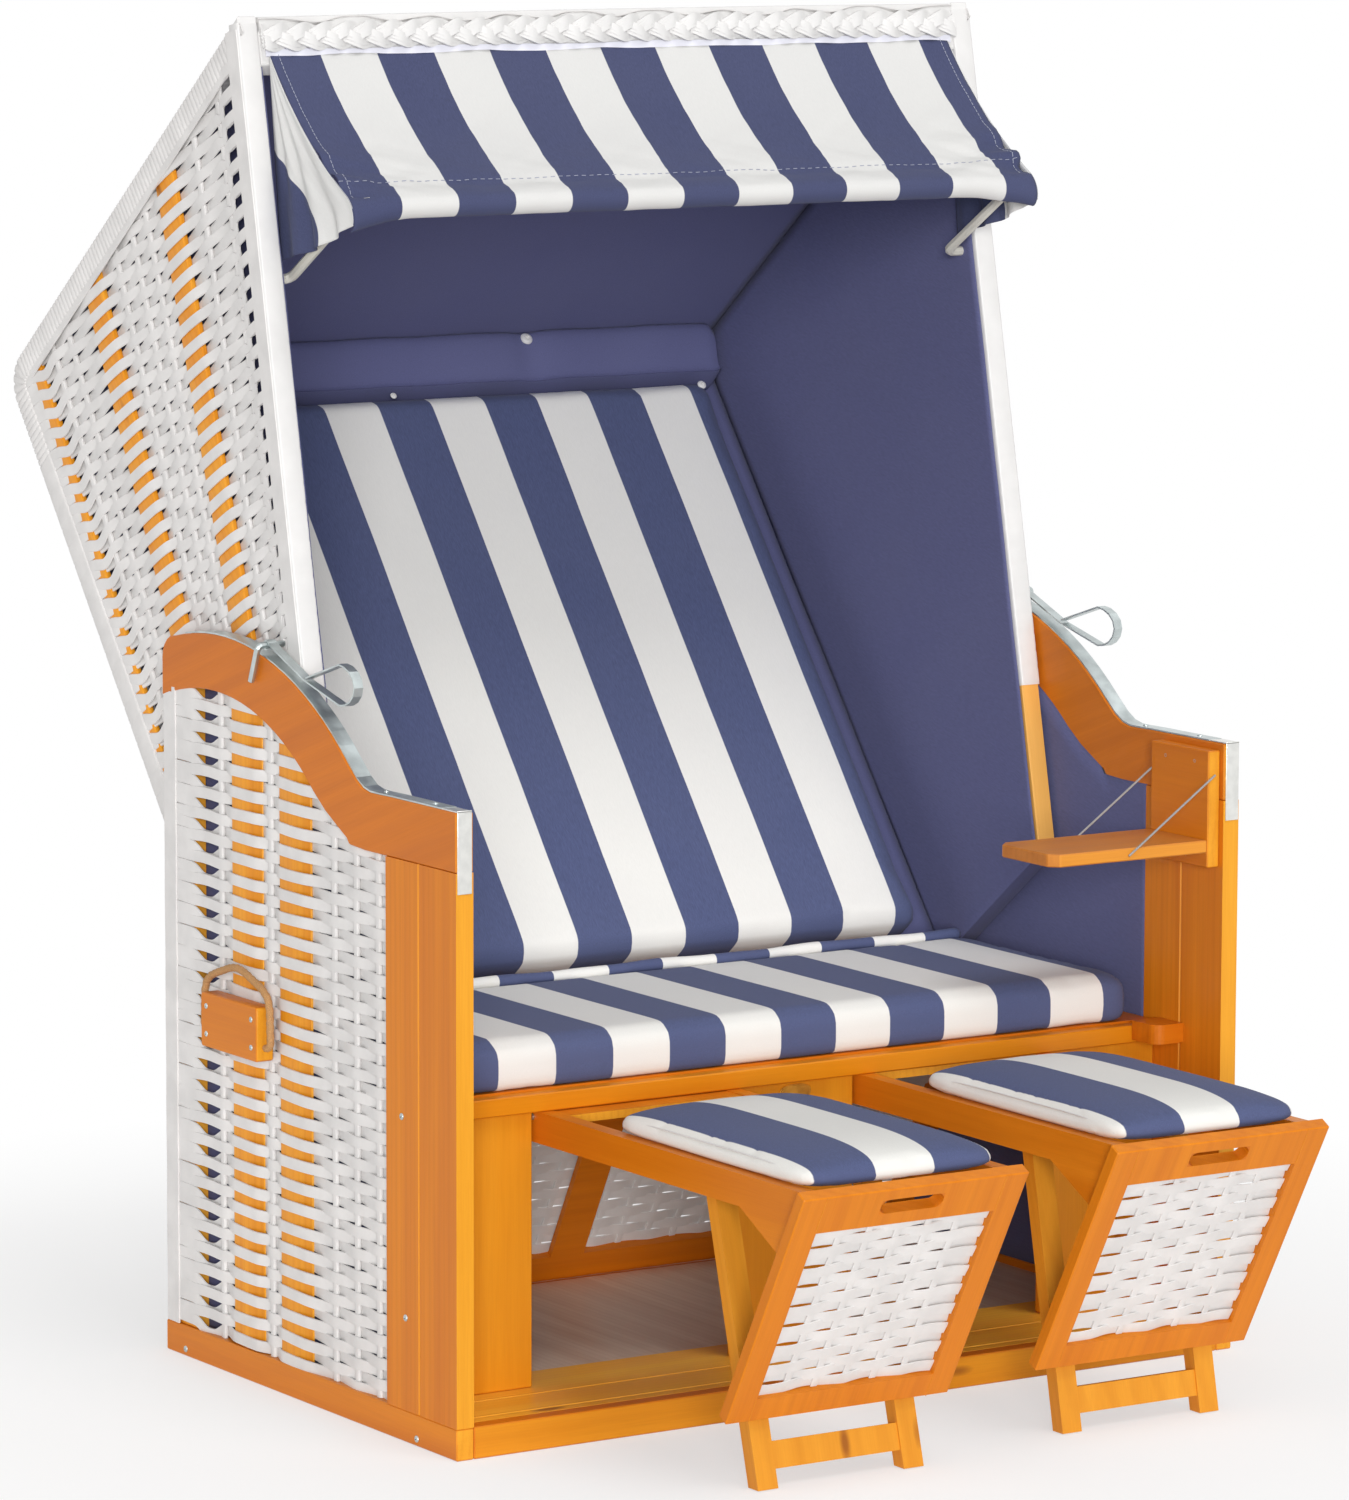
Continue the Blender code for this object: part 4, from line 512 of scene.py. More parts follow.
def rope(name, path, radius, skin, body, lay_length, nodes_):
    """A laid rope along a path."""
    fine = resample(path, radius * 0.45)
    run = np.linspace(0, length_of(fine), len(fine))
    shape = Shape()
    shape.sweep(fine, (1.0, 0.02, 0.03), rope_section(radius, run / lay_length
                                                      * 2 * math.pi))
    piece = shape.make(name, skin, body, "natural_rope", 60)
    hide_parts(*nodes_)
    tuple(path[0])
    [tuple(p) for p in path]
    return piece


HANDLE_FRONT, HANDLE_REAR, HANDLE_TOP, ROPE_FOOT = 0.0785, 0.218, 0.480, 0.425
for word, side in SIDES.items():
    middle, x = (HANDLE_FRONT + HANDLE_REAR) / 2, side * 0.5756
    half = [(HANDLE_FRONT - 0.0055, ROPE_FOOT), (HANDLE_FRONT - 0.012, ROPE_FOOT + 0.006),
            (HANDLE_FRONT - 0.012, ROPE_FOOT + 0.020),
            (HANDLE_FRONT - 0.006, HANDLE_TOP + 0.0066),
            ((HANDLE_FRONT + middle) / 2, HANDLE_TOP + 0.033 * 0.76)]
    knots = [(x, y, z) for y, z in half] + [(x, middle, HANDLE_TOP + 0.033)]
    knots += [(x, 2 * middle - y, z) for y, z in reversed(half)]
    route = [np.array((x, HANDLE_FRONT - 0.0003, ROPE_FOOT))] + smooth(knots, 3)
    route.append(np.array((x, HANDLE_REAR + 0.0003, ROPE_FOOT)))
    rope("rope_loop_" + word, route, 0.0048, ROPE, "base", 0.030,
         ["handle_rope_" + word])
for word, y in (("front", -0.3467), ("rear", -0.2243)):
    top, eye = np.array((0.5325, y, 0.727)), np.array((0.4017, y, 0.6364))
    route = [top + (eye - top) * i / 16 for i in range(17)]
    rope("table_string_" + word, route, 0.0014, GREY_CORD, "base", 0.0075,
         ["table_cord_" + word])


# ---------------------------------------------------------------- hood geometry
PIVOT = (0.225, 0.445)
POST_RUN = math.tan(math.radians(26.64))
POST_COS = math.cos(math.radians(26.64))


def upright(f, h):
    """World (y, z) of a place on the upright hood."""
    return (PIVOT[0] - f * math.cos(LEAN) + h * math.sin(LEAN),
            PIVOT[1] + f * math.sin(LEAN) + h * math.cos(LEAN))


def on_hood(f, h, x):
    """World points of places on the hood."""
    f, h, x = np.broadcast_arrays(*(np.asarray(v, float) for v in (f, h, x)))
    y, z = upright(f, h)
    return np.stack([x, y, z], -1)


def post_line(set_back, h):
    """Forward place on the post, set back from its front face, at a height."""
    return 0.2691 - set_back / POST_COS + (h + 0.0389) * POST_RUN


def hood_way(f, h):
    """World direction of a direction on the hood."""
    return np.array([0.0, -f * math.cos(LEAN) + h * math.sin(LEAN),
                     f * math.sin(LEAN) + h * math.cos(LEAN)])


# ---------------------------------------------------------------- weaving
def bell(value, centre, reach):
    """A smooth bump of height 1 at a centre."""
    return np.exp(-((value - centre) / reach) ** 2)


def strip_depth(a, stakes, over, rise):
    """Depth of one strip along its run, from the stakes that it crosses.

    stakes is a list of (place, half width, half thickness, parity); a parity of
    None is passed over by every strip.
    """
    places, depths = [], []
    for place, half, thick, parity in stakes:
        sign = 1.0 if parity is None or parity == over else -1.0
        depth = sign * (thick + rise)
        places += [place - half, place, place + half]
        depths += [depth, depth + (0.0006 if half > 0.02 and sign > 0 else 0), depth]
    order = np.argsort(places)
    places, depths = np.array(places)[order], np.array(depths)[order]
    line = np.interp(a, places, depths)
    kernel = np.array([1.0, 2.0, 1.0]) / 4
    padded = np.concatenate([[line[0]], line, [line[-1]]])
    return np.convolve(padded, kernel, "valid")


# ---------------------------------------------------------------- base walls
ARM_LOW_C, ARM_LOW_R = (0.2310, 0.4589), 0.3849   # arc of the arm rail's lower edge


def ease(start, start_way, end, end_way, steps):
    """Points inside a cubic curve."""
    points = []
    for i in range(1, steps):
        t = i / steps
        a, b, c, d = (1 - t) ** 3, 3 * t * (1 - t) ** 2, 3 * t * t * (1 - t), t ** 3
        points.append(tuple(a * start[i] + b * start_way[i] + c * end_way[i] + d * end[i]
                            for i in (0, 1)))
    return points


def arm_low(drop=0.0, rear=HALF_DEPTH):
    """Lower edge of the arm rail from a rear place to the front, lowered by drop."""
    c, r = ARM_LOW_C, ARM_LOW_R - drop
    first = math.acos((rear - c[0]) / r)
    last = math.acos((-0.0220 - c[0]) / r)
    line = [(c[0] + r * math.cos(a), c[1] + r * math.sin(a))
            for a in np.linspace(first, last, 40)]
    end, level = line[-1], (-0.1420, 0.695 - drop)
    reach = (end[0] - level[0]) * 0.45
    after = (end[0] - math.sin(last) * reach, end[1] + math.cos(last) * reach)
    return line + ease(end, after, (level[0] + reach, level[1]), level, 12) + [level]


LOW_LINE = np.array(arm_low())
LOW_Y, LOW_Z = LOW_LINE[::-1, 0], LOW_LINE[::-1, 1]


def rail_low(y):
    """Height of the arm rail's lower edge."""
    return np.interp(y, LOW_Y, LOW_Z)


CREST = int(np.argmax(LOW_Z))
STRIP_WIDTH = 0.0146
PITCH = 0.01355          # between strips on the base
WALL_MID = 0.5560        # middle of the weave, from the chair's middle
# (place, half width, half thickness, parity of the strips that pass over it)
BASE_STAKES = [(0.3160, 0.034, 0.0052, None), (0.2190, 0.005, 0.0025, 1),
               (0.1548, 0.030, 0.0050, 0), (0.0963, 0.005, 0.0025, 1),
               (0.0375, 0.030, 0.0050, 0), (-0.057, 0.005, 0.0025, 1),
               (-0.109, 0.005, 0.0025, 0), (-0.161, 0.005, 0.0025, 1),
               (-0.197, 0.003, 0.0030, 0)]


def base_wall(word, side):
    """Woven wall under the arm rail."""
    strips, whites, oranges = Shape(), Shape(), Shape()

    def place(y, z, x):
        return np.stack(np.broadcast_arrays(side * x, y, z), -1)

    section = flat_strip(STRIP_WIDTH, 0.0016)
    for row in range(60):
        z0 = 0.0455 + row * PITCH
        if z0 > 0.842:
            break
        over = row % 2
        front, rear = -0.197, 0.3500
        if z0 > 0.704:
            front = float(np.interp(z0 - 0.006, LOW_Z[:CREST + 1],
                                    LOW_Y[:CREST + 1])) - 0.010
        if z0 > rail_low(rear):
            rear = float(np.interp(-z0, -LOW_Z[CREST:], LOW_Y[CREST:])) + 0.006
        if rear - front < 0.03:
            continue
        y = np.linspace(rear, front, max(8, int((rear - front) / 0.0050)))
        depth = strip_depth(y, BASE_STAKES, over, 0.0009)
        drop = (-0.0122 if over == 0 else 0.0012) * np.exp(-np.abs((y - 0.2515) / 0.021)
                                                          ** 3)
        sway = 0.0011 * math.sin(row * 2.39) * np.sin(y * 31 + row)
        z = z0 + drop + sway - 0.020 * (0.08 - y)
        twist = side * np.array([1.0, 0.0, 0.0])
        strips.sweep(place(y, z, WALL_MID + depth), twist, section)
    stake = rounded_box(-0.005, 0.005, -0.0025, 0.0025, 0.002)
    for y in (0.2190, 0.0963, -0.057, -0.109, -0.161):
        z = np.linspace(0.0383, float(rail_low(y)) + 0.006, 60)
        sway = 0.0005 * np.sin(z * 60 + y * 90)
        whites.sweep(place(y + sway, z, WALL_MID), side * np.array([1.0, 0, 0]), stake)
    for y0, ridge, y1 in ((0.1875, 0.1530, 0.1215), (0.0705, 0.0365, 0.0040)):
        outline = [(y0, 0.5508), (y0, 0.5596), (ridge, 0.5612), (y1, 0.5540),
                   (y1, 0.5508)]
        tops = [float(rail_low(y)) + 0.008 for y, _ in outline]
        oranges.prism(outline, 0.0383, tops, lambda a, b, c: (side * b, a, c))
    outline = [(0.3500, 0.5440), (0.3500, 0.5600), (0.2800, 0.5600), (0.2800, 0.5440)]
    tops = [float(rail_low(y)) + 0.006 for y, _ in outline]
    oranges.prism(outline, 0.0383, tops, lambda a, b, c: (side * b, a, c))
    # cover strips down the rear corner and across the end grain
    for y, half, x in ((0.3372, 0.0142, 0.5635), (0.3245, 0.0042, 0.5640)):
        z = np.linspace(0.0385, float(rail_low(min(y + half, 0.3505))) + 0.006, 46)
        whites.sweep(place(y + 0.0003 * np.sin(z * 47), z, x), side * np.array(
            [1.0, 0, 0]), flat_strip(2 * half, 0.0020))
    z = np.linspace(0.0385, 0.826, 46)
    whites.sweep(place(np.full_like(z, 0.3508), z, 0.5534), (0, 1, 0),
                 flat_strip(0.0214, 0.0014))
    piece = strips.make("wall_strips_" + word, STRIP, "base", "white_wicker", 50)
    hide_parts("side_wicker_" + word)
    whites.make("wall_stakes_" + word, STRIP, "base", "white_wicker")
    oranges.make("wall_slats_" + word, WOOD["slat_z"], "base", "honey_wood", bevel=0.001)
    lining = Shape()
    ys = np.linspace(-0.1925, 0.3500, 60)
    rows = np.linspace(0, 1, 24)
    top = rail_low(ys) + 0.003
    zs = 0.0390 + (top[None, :] - 0.0390) * rows[:, None]
    lining.grid(place(np.broadcast_to(ys, zs.shape), zs,
                      0.5426 + 0.0004 * np.sin(ys * 23)[None, :] * np.sin(zs * 17)))
    cloth = lining.make("wall_lining_" + word, NAVY_CLOTH, "base", "navy_canvas",
                        thick=0.0012)


for word, side in SIDES.items():
    base_wall(word, side)


# ---------------------------------------------------------------- hood walls
FAN = 0.553              # below the pivot, where the lines of all the stakes meet
FALL = 0.18              # of each strip towards the front
CLIMB = 0.046            # of each strip beside the post
ROW = 0.0139             # between strips on the hood
LOW_END, HIGH_END = -0.020, 0.940   # of the stakes


def fan(m, row):
    """Forward place where a stake of slope m meets a strip whose start is at row."""
    return (-0.0125 + m * (row + FAN)) / (1 + FALL * m)


def hood_wall(word, side):
    """Woven side of the hood, with its stakes fanned between back and post."""
    strips, whites, oranges = Shape(), Shape(), Shape()
    mid = 0.5275
    narrow = [(0.0790, 0), (0.1120, 1), (0.2260, 1), (0.2620, 0), (0.2930, 1),
              (0.4020, 1), (0.4550, 0)]
    wide = [(0.1770, 0.0270, 0), (0.3407, 0.0280, 0)]
    section = flat_strip(STRIP_WIDTH, 0.0015)
    for row in range(84):
        h0 = -0.030 + row * ROW
        over = row % 2
        back_f, front_f = 0.004, post_line(0.0150, h0 - FALL * 0.5)
        for _ in range(4):
            front_f = post_line(0.0150, h0 - FALL * front_f + CLIMB)
        if h0 > 0.940:
            back_f = (h0 - 0.938) / FALL
        if h0 - FALL * front_f < LOW_END:
            front_f = (h0 - LOW_END) / FALL
        if front_f - back_f < 0.03:
            continue
        f = np.linspace(back_f, front_f, max(8, int((front_f - back_f) / 0.0055)))
        gap_f = fan(0.4550, h0)
        post_rear = float(post_line(0.0210, h0 - FALL * front_f))
        stakes = [(0.012, 0.012, 0.0046, None)]
        stakes += [(fan(m, h0), 0.005, 0.0025, p) for m, p in narrow]
        stakes += [(fan(m, h0), half - 0.003, 0.0042, p) for m, half, p in wide]
        stakes += [(post_rear + 0.012, 0.012, 0.0070, None)]
        depth = strip_depth(f, stakes, over, 0.0009)
        share = np.clip((f - gap_f - 0.004) / 0.034, 0, 1)
        climb = CLIMB * share * share * (3 - 2 * share)
        sign = 1.0 if over == 0 else -1.0
        slot = np.exp(-np.abs((f - gap_f - 0.0210) / 0.0165) ** 3)
        pinch = -0.0069 * sign * np.clip((f - gap_f) / 0.014, 0, 1)
        depth = depth - 0.0007 * sign * np.clip((f - gap_f) / 0.014, 0, 1)
        rear_gap = fan(0.058, h0)
        drop = -0.0104 * bell(f, rear_gap, 0.020) if over == 0 else 0.0
        sway = 0.0009 * math.sin(row * 1.7) * np.sin(f * 27 + row)
        h = np.minimum(h0 - FALL * f + climb + pinch + drop + sway, 0.9330)
        depth = np.where(h > 0.915, np.minimum(depth, 0.0058), depth)
        narrow_in = np.stack([1 - 0.60 * slot, np.ones(len(f))], 1)[:, None, :]
        strips.sweep(on_hood(f, h, side * (mid + depth)), side * np.array([1.0, 0, 0]),
                     section * narrow_in)
    for m, _ in narrow:
        h = np.linspace(LOW_END, HIGH_END, 70)
        f = -0.0125 + m * (h + FAN) + 0.0004 * np.sin(h * 55 + m * 40)
        whites.sweep(on_hood(f, h, side * mid), side * np.array([1.0, 0, 0]),
                     rounded_box(-0.0050, 0.0050, -0.0025, 0.0025, 0.002))
    for m, half, _ in wide:
        h = np.linspace(LOW_END, HIGH_END, 16)
        f = -0.0125 + m * (h + FAN) - 0.0015
        lean = rounded_box(-half + 0.0045, half - 0.0045, -0.0040, 0.0036, 0.002)
        oranges.sweep(on_hood(f, h, side * mid), side * np.array([1.0, 0, 0]), lean)
    h = np.linspace(LOW_END, 0.935, 12)
    oranges.sweep(on_hood(fan(0.058, h) - 0.0180, h, side * mid),
                  side * np.array([1.0, 0, 0]), rounded_box(-0.012, 0.012, -0.004,
                                                            0.0040, 0.002))
    # wrapped edge band up the back, round the shoulder and along the roof
    line = [(-0.0125 + 0.017, h) for h in np.linspace(-0.030, 0.9055, 60)]
    line += [(0.030 - 0.0255 * math.cos(a), 0.9055 + 0.0255 * math.sin(a))
             for a in np.linspace(0.05, math.pi / 2, 14)]
    line += [(f, 0.931) for f in np.linspace(0.032, post_line(0.020, 0.931), 60)]
    path = resample(line, 0.0022)
    count = len(path)
    wraps = np.arange(count) % 4 == 0
    pull = np.where(path[:, 1] > 0.80, np.where(wraps, 0.0016, 0.0), np.where(
        wraps & (np.arange(count) % 12 == 0), 0.0005, 0.0))
    box = np.stack([rounded_box(-0.0168 + p * 0.3, 0.0168 - p * 0.5, -0.0132,
                                0.0136 - p, 0.003, 2) for p in pull])
    band = Shape()
    band.sweep(on_hood(path[:, 0], path[:, 1], side * 0.522), side * np.array([1.0, 0,
                                                                               0]), box)
    # a second strip laid along the inner edge of the roof band
    line = [(f, 0.9105) for f in np.linspace(0.045, post_line(0.024, 0.9105), 40)]
    line = np.array(line)
    band.sweep(on_hood(line[:, 0], line[:, 1], side * 0.5350), side * np.array(
        [1.0, 0, 0]), flat_strip(0.009, 0.0020))
    strips_piece = strips.make("hood_strips_" + word, STRIP, "hood", "white_wicker", 50)
    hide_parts("hood_side_" + word)
    whites.make("hood_stakes_" + word, STRIP, "hood", "white_wicker")
    oranges.make("hood_slats_" + word, WOOD["slat"], "hood", "honey_wood")
    band.make("hood_band_" + word, STRIP, "hood", "white_wicker", 55)
    boss = Shape()
    ring = [(0.022 * math.cos(a), 0.022 * math.sin(a))
            for a in np.linspace(0, 2 * math.pi, 32, endpoint=False)]
    boss.prism(ring, 0.5342, 0.5412, lambda a, b, c: (side * c, PIVOT[0] + a,
                                                      PIVOT[1] + b))
    boss.make("pivot_washer_" + word, STRIP, "hood", "white_wicker", bevel=0.001)
    # strip laid along the post's outer side over the ends of the weave
    cover = Shape()
    h = np.linspace(LOW_END, HIGH_END, 90)
    lead = 0.0010 if side < 0 else 0.0062
    half = 0.0150 - lead / 2
    cover.sweep(on_hood(post_line(lead + half, h) + 0.0002 * np.sin(h * 70), h,
                        side * 0.5374), side * np.array([1.0, 0, 0]),
                flat_strip(2 * half, 0.0017))
    cover.make("post_cover_" + word, STRIP, "hood", "white_wicker", 50)
    # strip-wrapped sleeve on the post, bare wood under it
    h = np.arange(0.165, 0.9478, 0.0040)
    groove = np.where((np.arange(len(h)) % 5 == 0) & (h < 0.50), 0.0006, 0.0)
    groove += np.where((np.arange(len(h)) % 9 == 0) & (h >= 0.50), 0.00025, 0.0)
    ends = np.minimum(1, (0.9480 - h) / 0.006)
    outer = (-0.0132, 0.0154) if side < 0 else (-0.0154, 0.0132)
    box = np.stack([rounded_box(*outer, -0.0108, 0.0116 * min(
        1, 0.75 + 0.25 * e) - g, 0.0028, 2) for g, e in zip(groove, ends)])
    sleeve = Shape()
    f = post_line(0.0105, h)
    front_way = hood_way(POST_COS, -POST_COS * POST_RUN)
    sleeve.sweep(on_hood(f, h, side * 0.522), front_way, box)
    sleeve.make("post_wrap_" + word, BRAID, "hood", "white_wicker", 50)


for word, side in SIDES.items():
    hood_wall(word, side)


def back_line(step, d):
    """Line up the hood's back, round its shoulder and along the roof."""
    line = [(-0.0125, h) for h in np.linspace(-0.020, 0.9055, 60)]
    line += [(0.030 - 0.0425 * math.cos(a), 0.9055 + 0.0425 * math.sin(a))
             for a in np.linspace(0.06, math.pi / 2, 12)]
    line += [(f, 0.948) for f in np.linspace(0.034, 0.7590, 50)]
    path = resample(line, step)
    way = np.gradient(path, axis=0)
    way /= np.linalg.norm(way, axis=1)[:, None]
    normal = np.stack([-way[:, 1], way[:, 0]], 1)
    return path + normal * d, normal


def hood_cover():
    """Woven back and roof in one run of stakes."""
    strips, whites, oranges = Shape(), Shape(), Shape()
    places = []
    for k in range(-9, 10):
        x = k * 0.0535
        slat = abs(k) in (1, 4, 7)
        places.append((x, slat))
    stakes = []
    for i, (x, slat) in enumerate(places):
        stakes.append((x, 0.018 if slat else 0.005, 0.0040 if slat else 0.0025, i % 2))
    path, normal = back_line(ROW, -0.0085)
    section = flat_strip(0.0124, 0.0016)
    x = np.linspace(-0.5086, 0.5086, 150)
    for row in range(len(path)):
        depth = strip_depth(x, stakes, row % 2, 0.0009)
        sway = 0.0008 * math.sin(row * 1.9) * np.sin(x * 24 + row)
        turn = np.array([path[row, 0], path[row, 1]])
        out = normal[row]
        along = np.array([out[1], -out[0]])
        f = turn[0] + out[0] * depth + along[0] * sway
        h = turn[1] + out[1] * depth + along[1] * sway
        strips.sweep(on_hood(f, h, x), hood_way(*out), section)
    path, normal = back_line(0.02, -0.0085)
    normals = np.stack([hood_way(*n) for n in normal])
    for x, slat in places:
        half, thick = (0.019, 0.0036) if slat else (0.005, 0.0025)
        where = on_hood(path[:, 0], path[:, 1], np.full(len(path), x))
        (oranges if slat else whites).sweep(where, normals, rounded_box(
            -half, half, -thick, thick, 0.0018))
    piece = strips.make("cover_strips", STRIP, "hood", "white_wicker", 50)
    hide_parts("hood_back", "hood_roof")
    whites.make("cover_stakes", STRIP, "hood", "white_wicker")
    oranges.make("cover_slats", WOOD["slat"], "hood", "honey_wood")
    # plait along the roof's front edge, over a wrapped core
    braid = Shape()
    x = np.linspace(-0.5070, 0.5070, 620)
    bow = 0.0030 * (1 - (x / 0.507) ** 2)
    front = hood_way(POST_COS, -POST_COS * POST_RUN)
    high = 0.9285 + bow * 0.6
    braid.sweep(on_hood(post_line(0.0030, high), high, x), front,
                rounded_box(-0.0215, 0.0215, -0.0050, 0.0042, 0.0030))
    down = hood_way(-POST_COS * POST_RUN, -POST_COS)
    middle = 0.9215 + bow
    base = on_hood(post_line(-0.0020, middle), middle, x)
    for k in range(3):
        for part in (-1.5, -0.5, 0.5, 1.5):
            phase = 2 * math.pi * (x / 0.094 + k / 3)
            lift = 0.0088 * np.sin(phase) + part * 0.0043
            deep = 0.0040 * np.sin(2 * phase) + 0.0056 - 0.0005 * abs(part)
            path = base - np.outer(lift, down) + np.outer(deep, front)
            braid.sweep(path, front, flat_strip(0.0052, 0.0022))
    braid.make("roof_braid", BRAID, "hood", "white_wicker", 50)
    tape = Shape()
    x = np.linspace(-0.5020, 0.5020, 120)
    high = 0.9055 + 0.0008 * np.sin(x * 21)
    tape.sweep(on_hood(post_line(-0.0020, high) + 0.0006 * np.sin(x * 38), high, x),
               front, flat_strip(0.0100, 0.0018))
    tape.make("awning_tape", TAPE, "hood", "striped_canvas", 50)


hood_cover()


# ---------------------------------------------------------------- hood lining
LINED = 0.5047


def hood_lining():
    """Stretched navy cloth on the inside of the hood."""
    deep, top = 0.0078, 0.9277
    corner = [(deep + 0.018 * (1 - math.cos(a)), top - 0.018 * (1 - math.sin(a)))
              for a in np.linspace(0, math.pi / 2, 8)]
    line = [(deep, h) for h in np.linspace(-0.020, top - 0.022, 40)] + corner
    line += [(f, top) for f in np.linspace(deep + 0.022, post_line(0.0215, top), 34)]
    path = resample(line, 0.016)
    x = np.linspace(-LINED - 0.0017, LINED + 0.0017, 70)
    soft = 0.0012 * np.sin(x * 9 + 1)[None, :] * np.sin(path[:, 1] * 13)[:, None]
    cloth = Shape()
    cloth.grid(on_hood(path[:, :1] + soft, path[:, 1:] - soft * 0.5, x[None, :]))
    back = cloth.make("lining_back", NAVY_CLOTH, "hood", "navy_canvas", thick=0.0014)
    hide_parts("hood_lining")
    for word, side in SIDES.items():
        cloth = Shape()
        h = np.concatenate([[-0.0270, -0.0305, -0.0320, -0.0320, -0.0290],
                            np.linspace(-0.022, top + 0.0004, 58)])[:, None]
        out = np.concatenate([[0.0306, 0.0302, 0.0280, 0.0020, 0.0004],
                              np.zeros(58)])[:, None]
        t = np.linspace(0, 1, 46)[None, :]
        f = deep - 0.0004 + (post_line(0.0035, h) - deep) * t
        wave = 0.0010 * np.sin(f * 17 + h * 9) * np.sin(h * 14)
        points = on_hood(f, h, side * (LINED + 0.0018 + out + wave * 0.6))
        cloth.grid(points)
        wall = cloth.make("lining_side_" + word, NAVY_CLOTH, "hood", "navy_canvas",
                          thick=0.0014)
        area = 0.990 * (post_line(0.0035, -0.02) + post_line(0.0035, top) - 2 * deep) / 2


hood_lining()


# ---------------------------------------------------------------- cushions
def inflate(piece, voxel, cap, up, floor):
    """Puffs a closed pad with cloth pressure and keeps it on what it rests on."""
    bpy.context.view_layer.objects.active = piece
    step = piece.modifiers.new("remesh", "REMESH")
    step.mode, step.voxel_size = "VOXEL", voxel
    apply_steps(piece)
    mesh = piece.data
    before = np.zeros(len(mesh.vertices) * 3)
    mesh.vertices.foreach_get("co", before)
    before = before.reshape(-1, 3)
    after = before
    cloth = piece.modifiers.new("cloth", "CLOTH")
    cloth.settings.quality = 3
    cloth.settings.use_pressure = True
    cloth.settings.uniform_pressure_force = 4.0
    cloth.settings.tension_stiffness = 20
    cloth.settings.compression_stiffness = 20
    cloth.settings.shear_stiffness = 8
    cloth.settings.effector_weights.gravity = 0
    cloth.collision_settings.use_collision = False
    cloth.point_cache.frame_start, cloth.point_cache.frame_end = 1, 16
    scene = bpy.context.scene
    for i in range(1, 16):
        scene.frame_set(i)
    graph = bpy.context.evaluated_depsgraph_get()
    result = piece.evaluated_get(graph).data
    after = np.zeros(len(result.vertices) * 3)
    result.vertices.foreach_get("co", after)
    after = after.reshape(-1, 3)
    piece.modifiers.clear()
    scene.frame_set(1)
    move = after - before
    size = np.linalg.norm(move, axis=1)
    move *= (np.minimum(size, cap) / np.maximum(size, 1e-9))[:, None]
    points = before + move
    height = points @ np.asarray(up)
    low = np.minimum(height - floor, 0)
    points -= np.outer(low, up)
    mesh.vertices.foreach_set("co", points.ravel())
    mesh.update()
    mesh.shade_smooth()


def pad(half, low, high, height, place, edge):
    """A boxy foam cushion with soft edges on a flat underside."""
    shape = Shape()

    def ring(level, inset):
        """One closed loop round the cushion at a level, drawn in by inset."""
        points = []
        w, h = half - inset, (high - low) / 2 - inset
        r = edge * 1.15
        mid = (high + low) / 2
        for cx, cy, start in ((w - r, h - r, 0), (-w + r, h - r, 90),
                              (-w + r, -h + r, 180), (w - r, -h + r, 270)):
            for i in range(6):
                a = math.radians(start + 90 * i / 5)
                px, py = cx + r * math.cos(a), cy + r * math.sin(a)
                points.append(place(px, mid + py, level))
        return points

    levels = [(0.0, edge * 0.55)]
    for i in range(1, 6):
        a = math.pi / 2 * i / 5
        levels.append((edge * 0.7 * (1 - math.cos(a)), edge * 0.55 * (1 - math.sin(a))))
    levels.append((height - edge, 0.0))
    for i in range(1, 7):
        a = math.pi / 2 * i / 6
        levels.append((height - edge + edge * math.sin(a), edge * (1 - math.cos(a))))
    rings = [ring(level, inset) for level, inset in levels]
    m = len(rings[0])
    faces = []
    for i in range(len(rings) - 1):
        for k in range(m):
            faces.append((i * m + k, i * m + (k + 1) % m, (i + 1) * m + (k + 1) % m,
                          (i + 1) * m + k))
    faces.append(tuple(range(m - 1, -1, -1)))
    faces.append(tuple(range((len(rings) - 1) * m, len(rings) * m)))
    shape.add([p for line in rings for p in line], faces)
    return shape


def cushion(name, skin, body, node_name, shape, voxel, cap, up, floor):
    """A puffed pad in place of a node."""
    piece = shape.make(name, skin, None)
    inflate(piece, voxel, cap, up, floor)
    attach(piece, body)
    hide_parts(node_name)
    return piece


SEAT_Z = 0.4003
seat = pad(0.5120, -0.2140, 0.1530, 0.0560, lambda a, b, c: (a, b, SEAT_Z + c), 0.018)
seat = cushion("seat_pad", SEAT_CLOTH, "base", "seat_cushion", seat, 0.0075, 0.0055,
               (0, 0, 1), SEAT_Z)
# its rear sides are drawn in, so that the hood's cloth passes beside them
places = np.array([v.co for v in seat.data.vertices])
share = np.clip((places[:, 1] - 0.010) / 0.045, 0, 1)
limit = 0.5180 - 0.0145 * share * share * (3 - 2 * share)
places[:, 0] = np.clip(places[:, 0], -limit, limit)
seat.data.vertices.foreach_set("co", places.ravel())
REST = 0.0081
back_up = hood_way(1, 0)
back_floor = float(np.dot(back_up, (0, *upright(REST, 0))))
back = pad(0.4560, -0.0110, 0.8420, 0.0600,
           lambda a, b, c: (a, *upright(REST + c, b)), 0.019)
cushion("back_pad", BACK_CLOTH, "hood", "back_cushion", back, 0.0080, 0.0060, back_up,
        back_floor)
FOOT_X = 0.23055
PIN = {"left": (-0.2095, 0.3673), "right": (-0.1735, 0.3673)}
FOOT_CLOTH = {word: canvas("striped_foot_" + word, side * FOOT_X + 0.04025, odd=1,
                            white=SEAT_WHITE)
              for word, side in SIDES.items()}
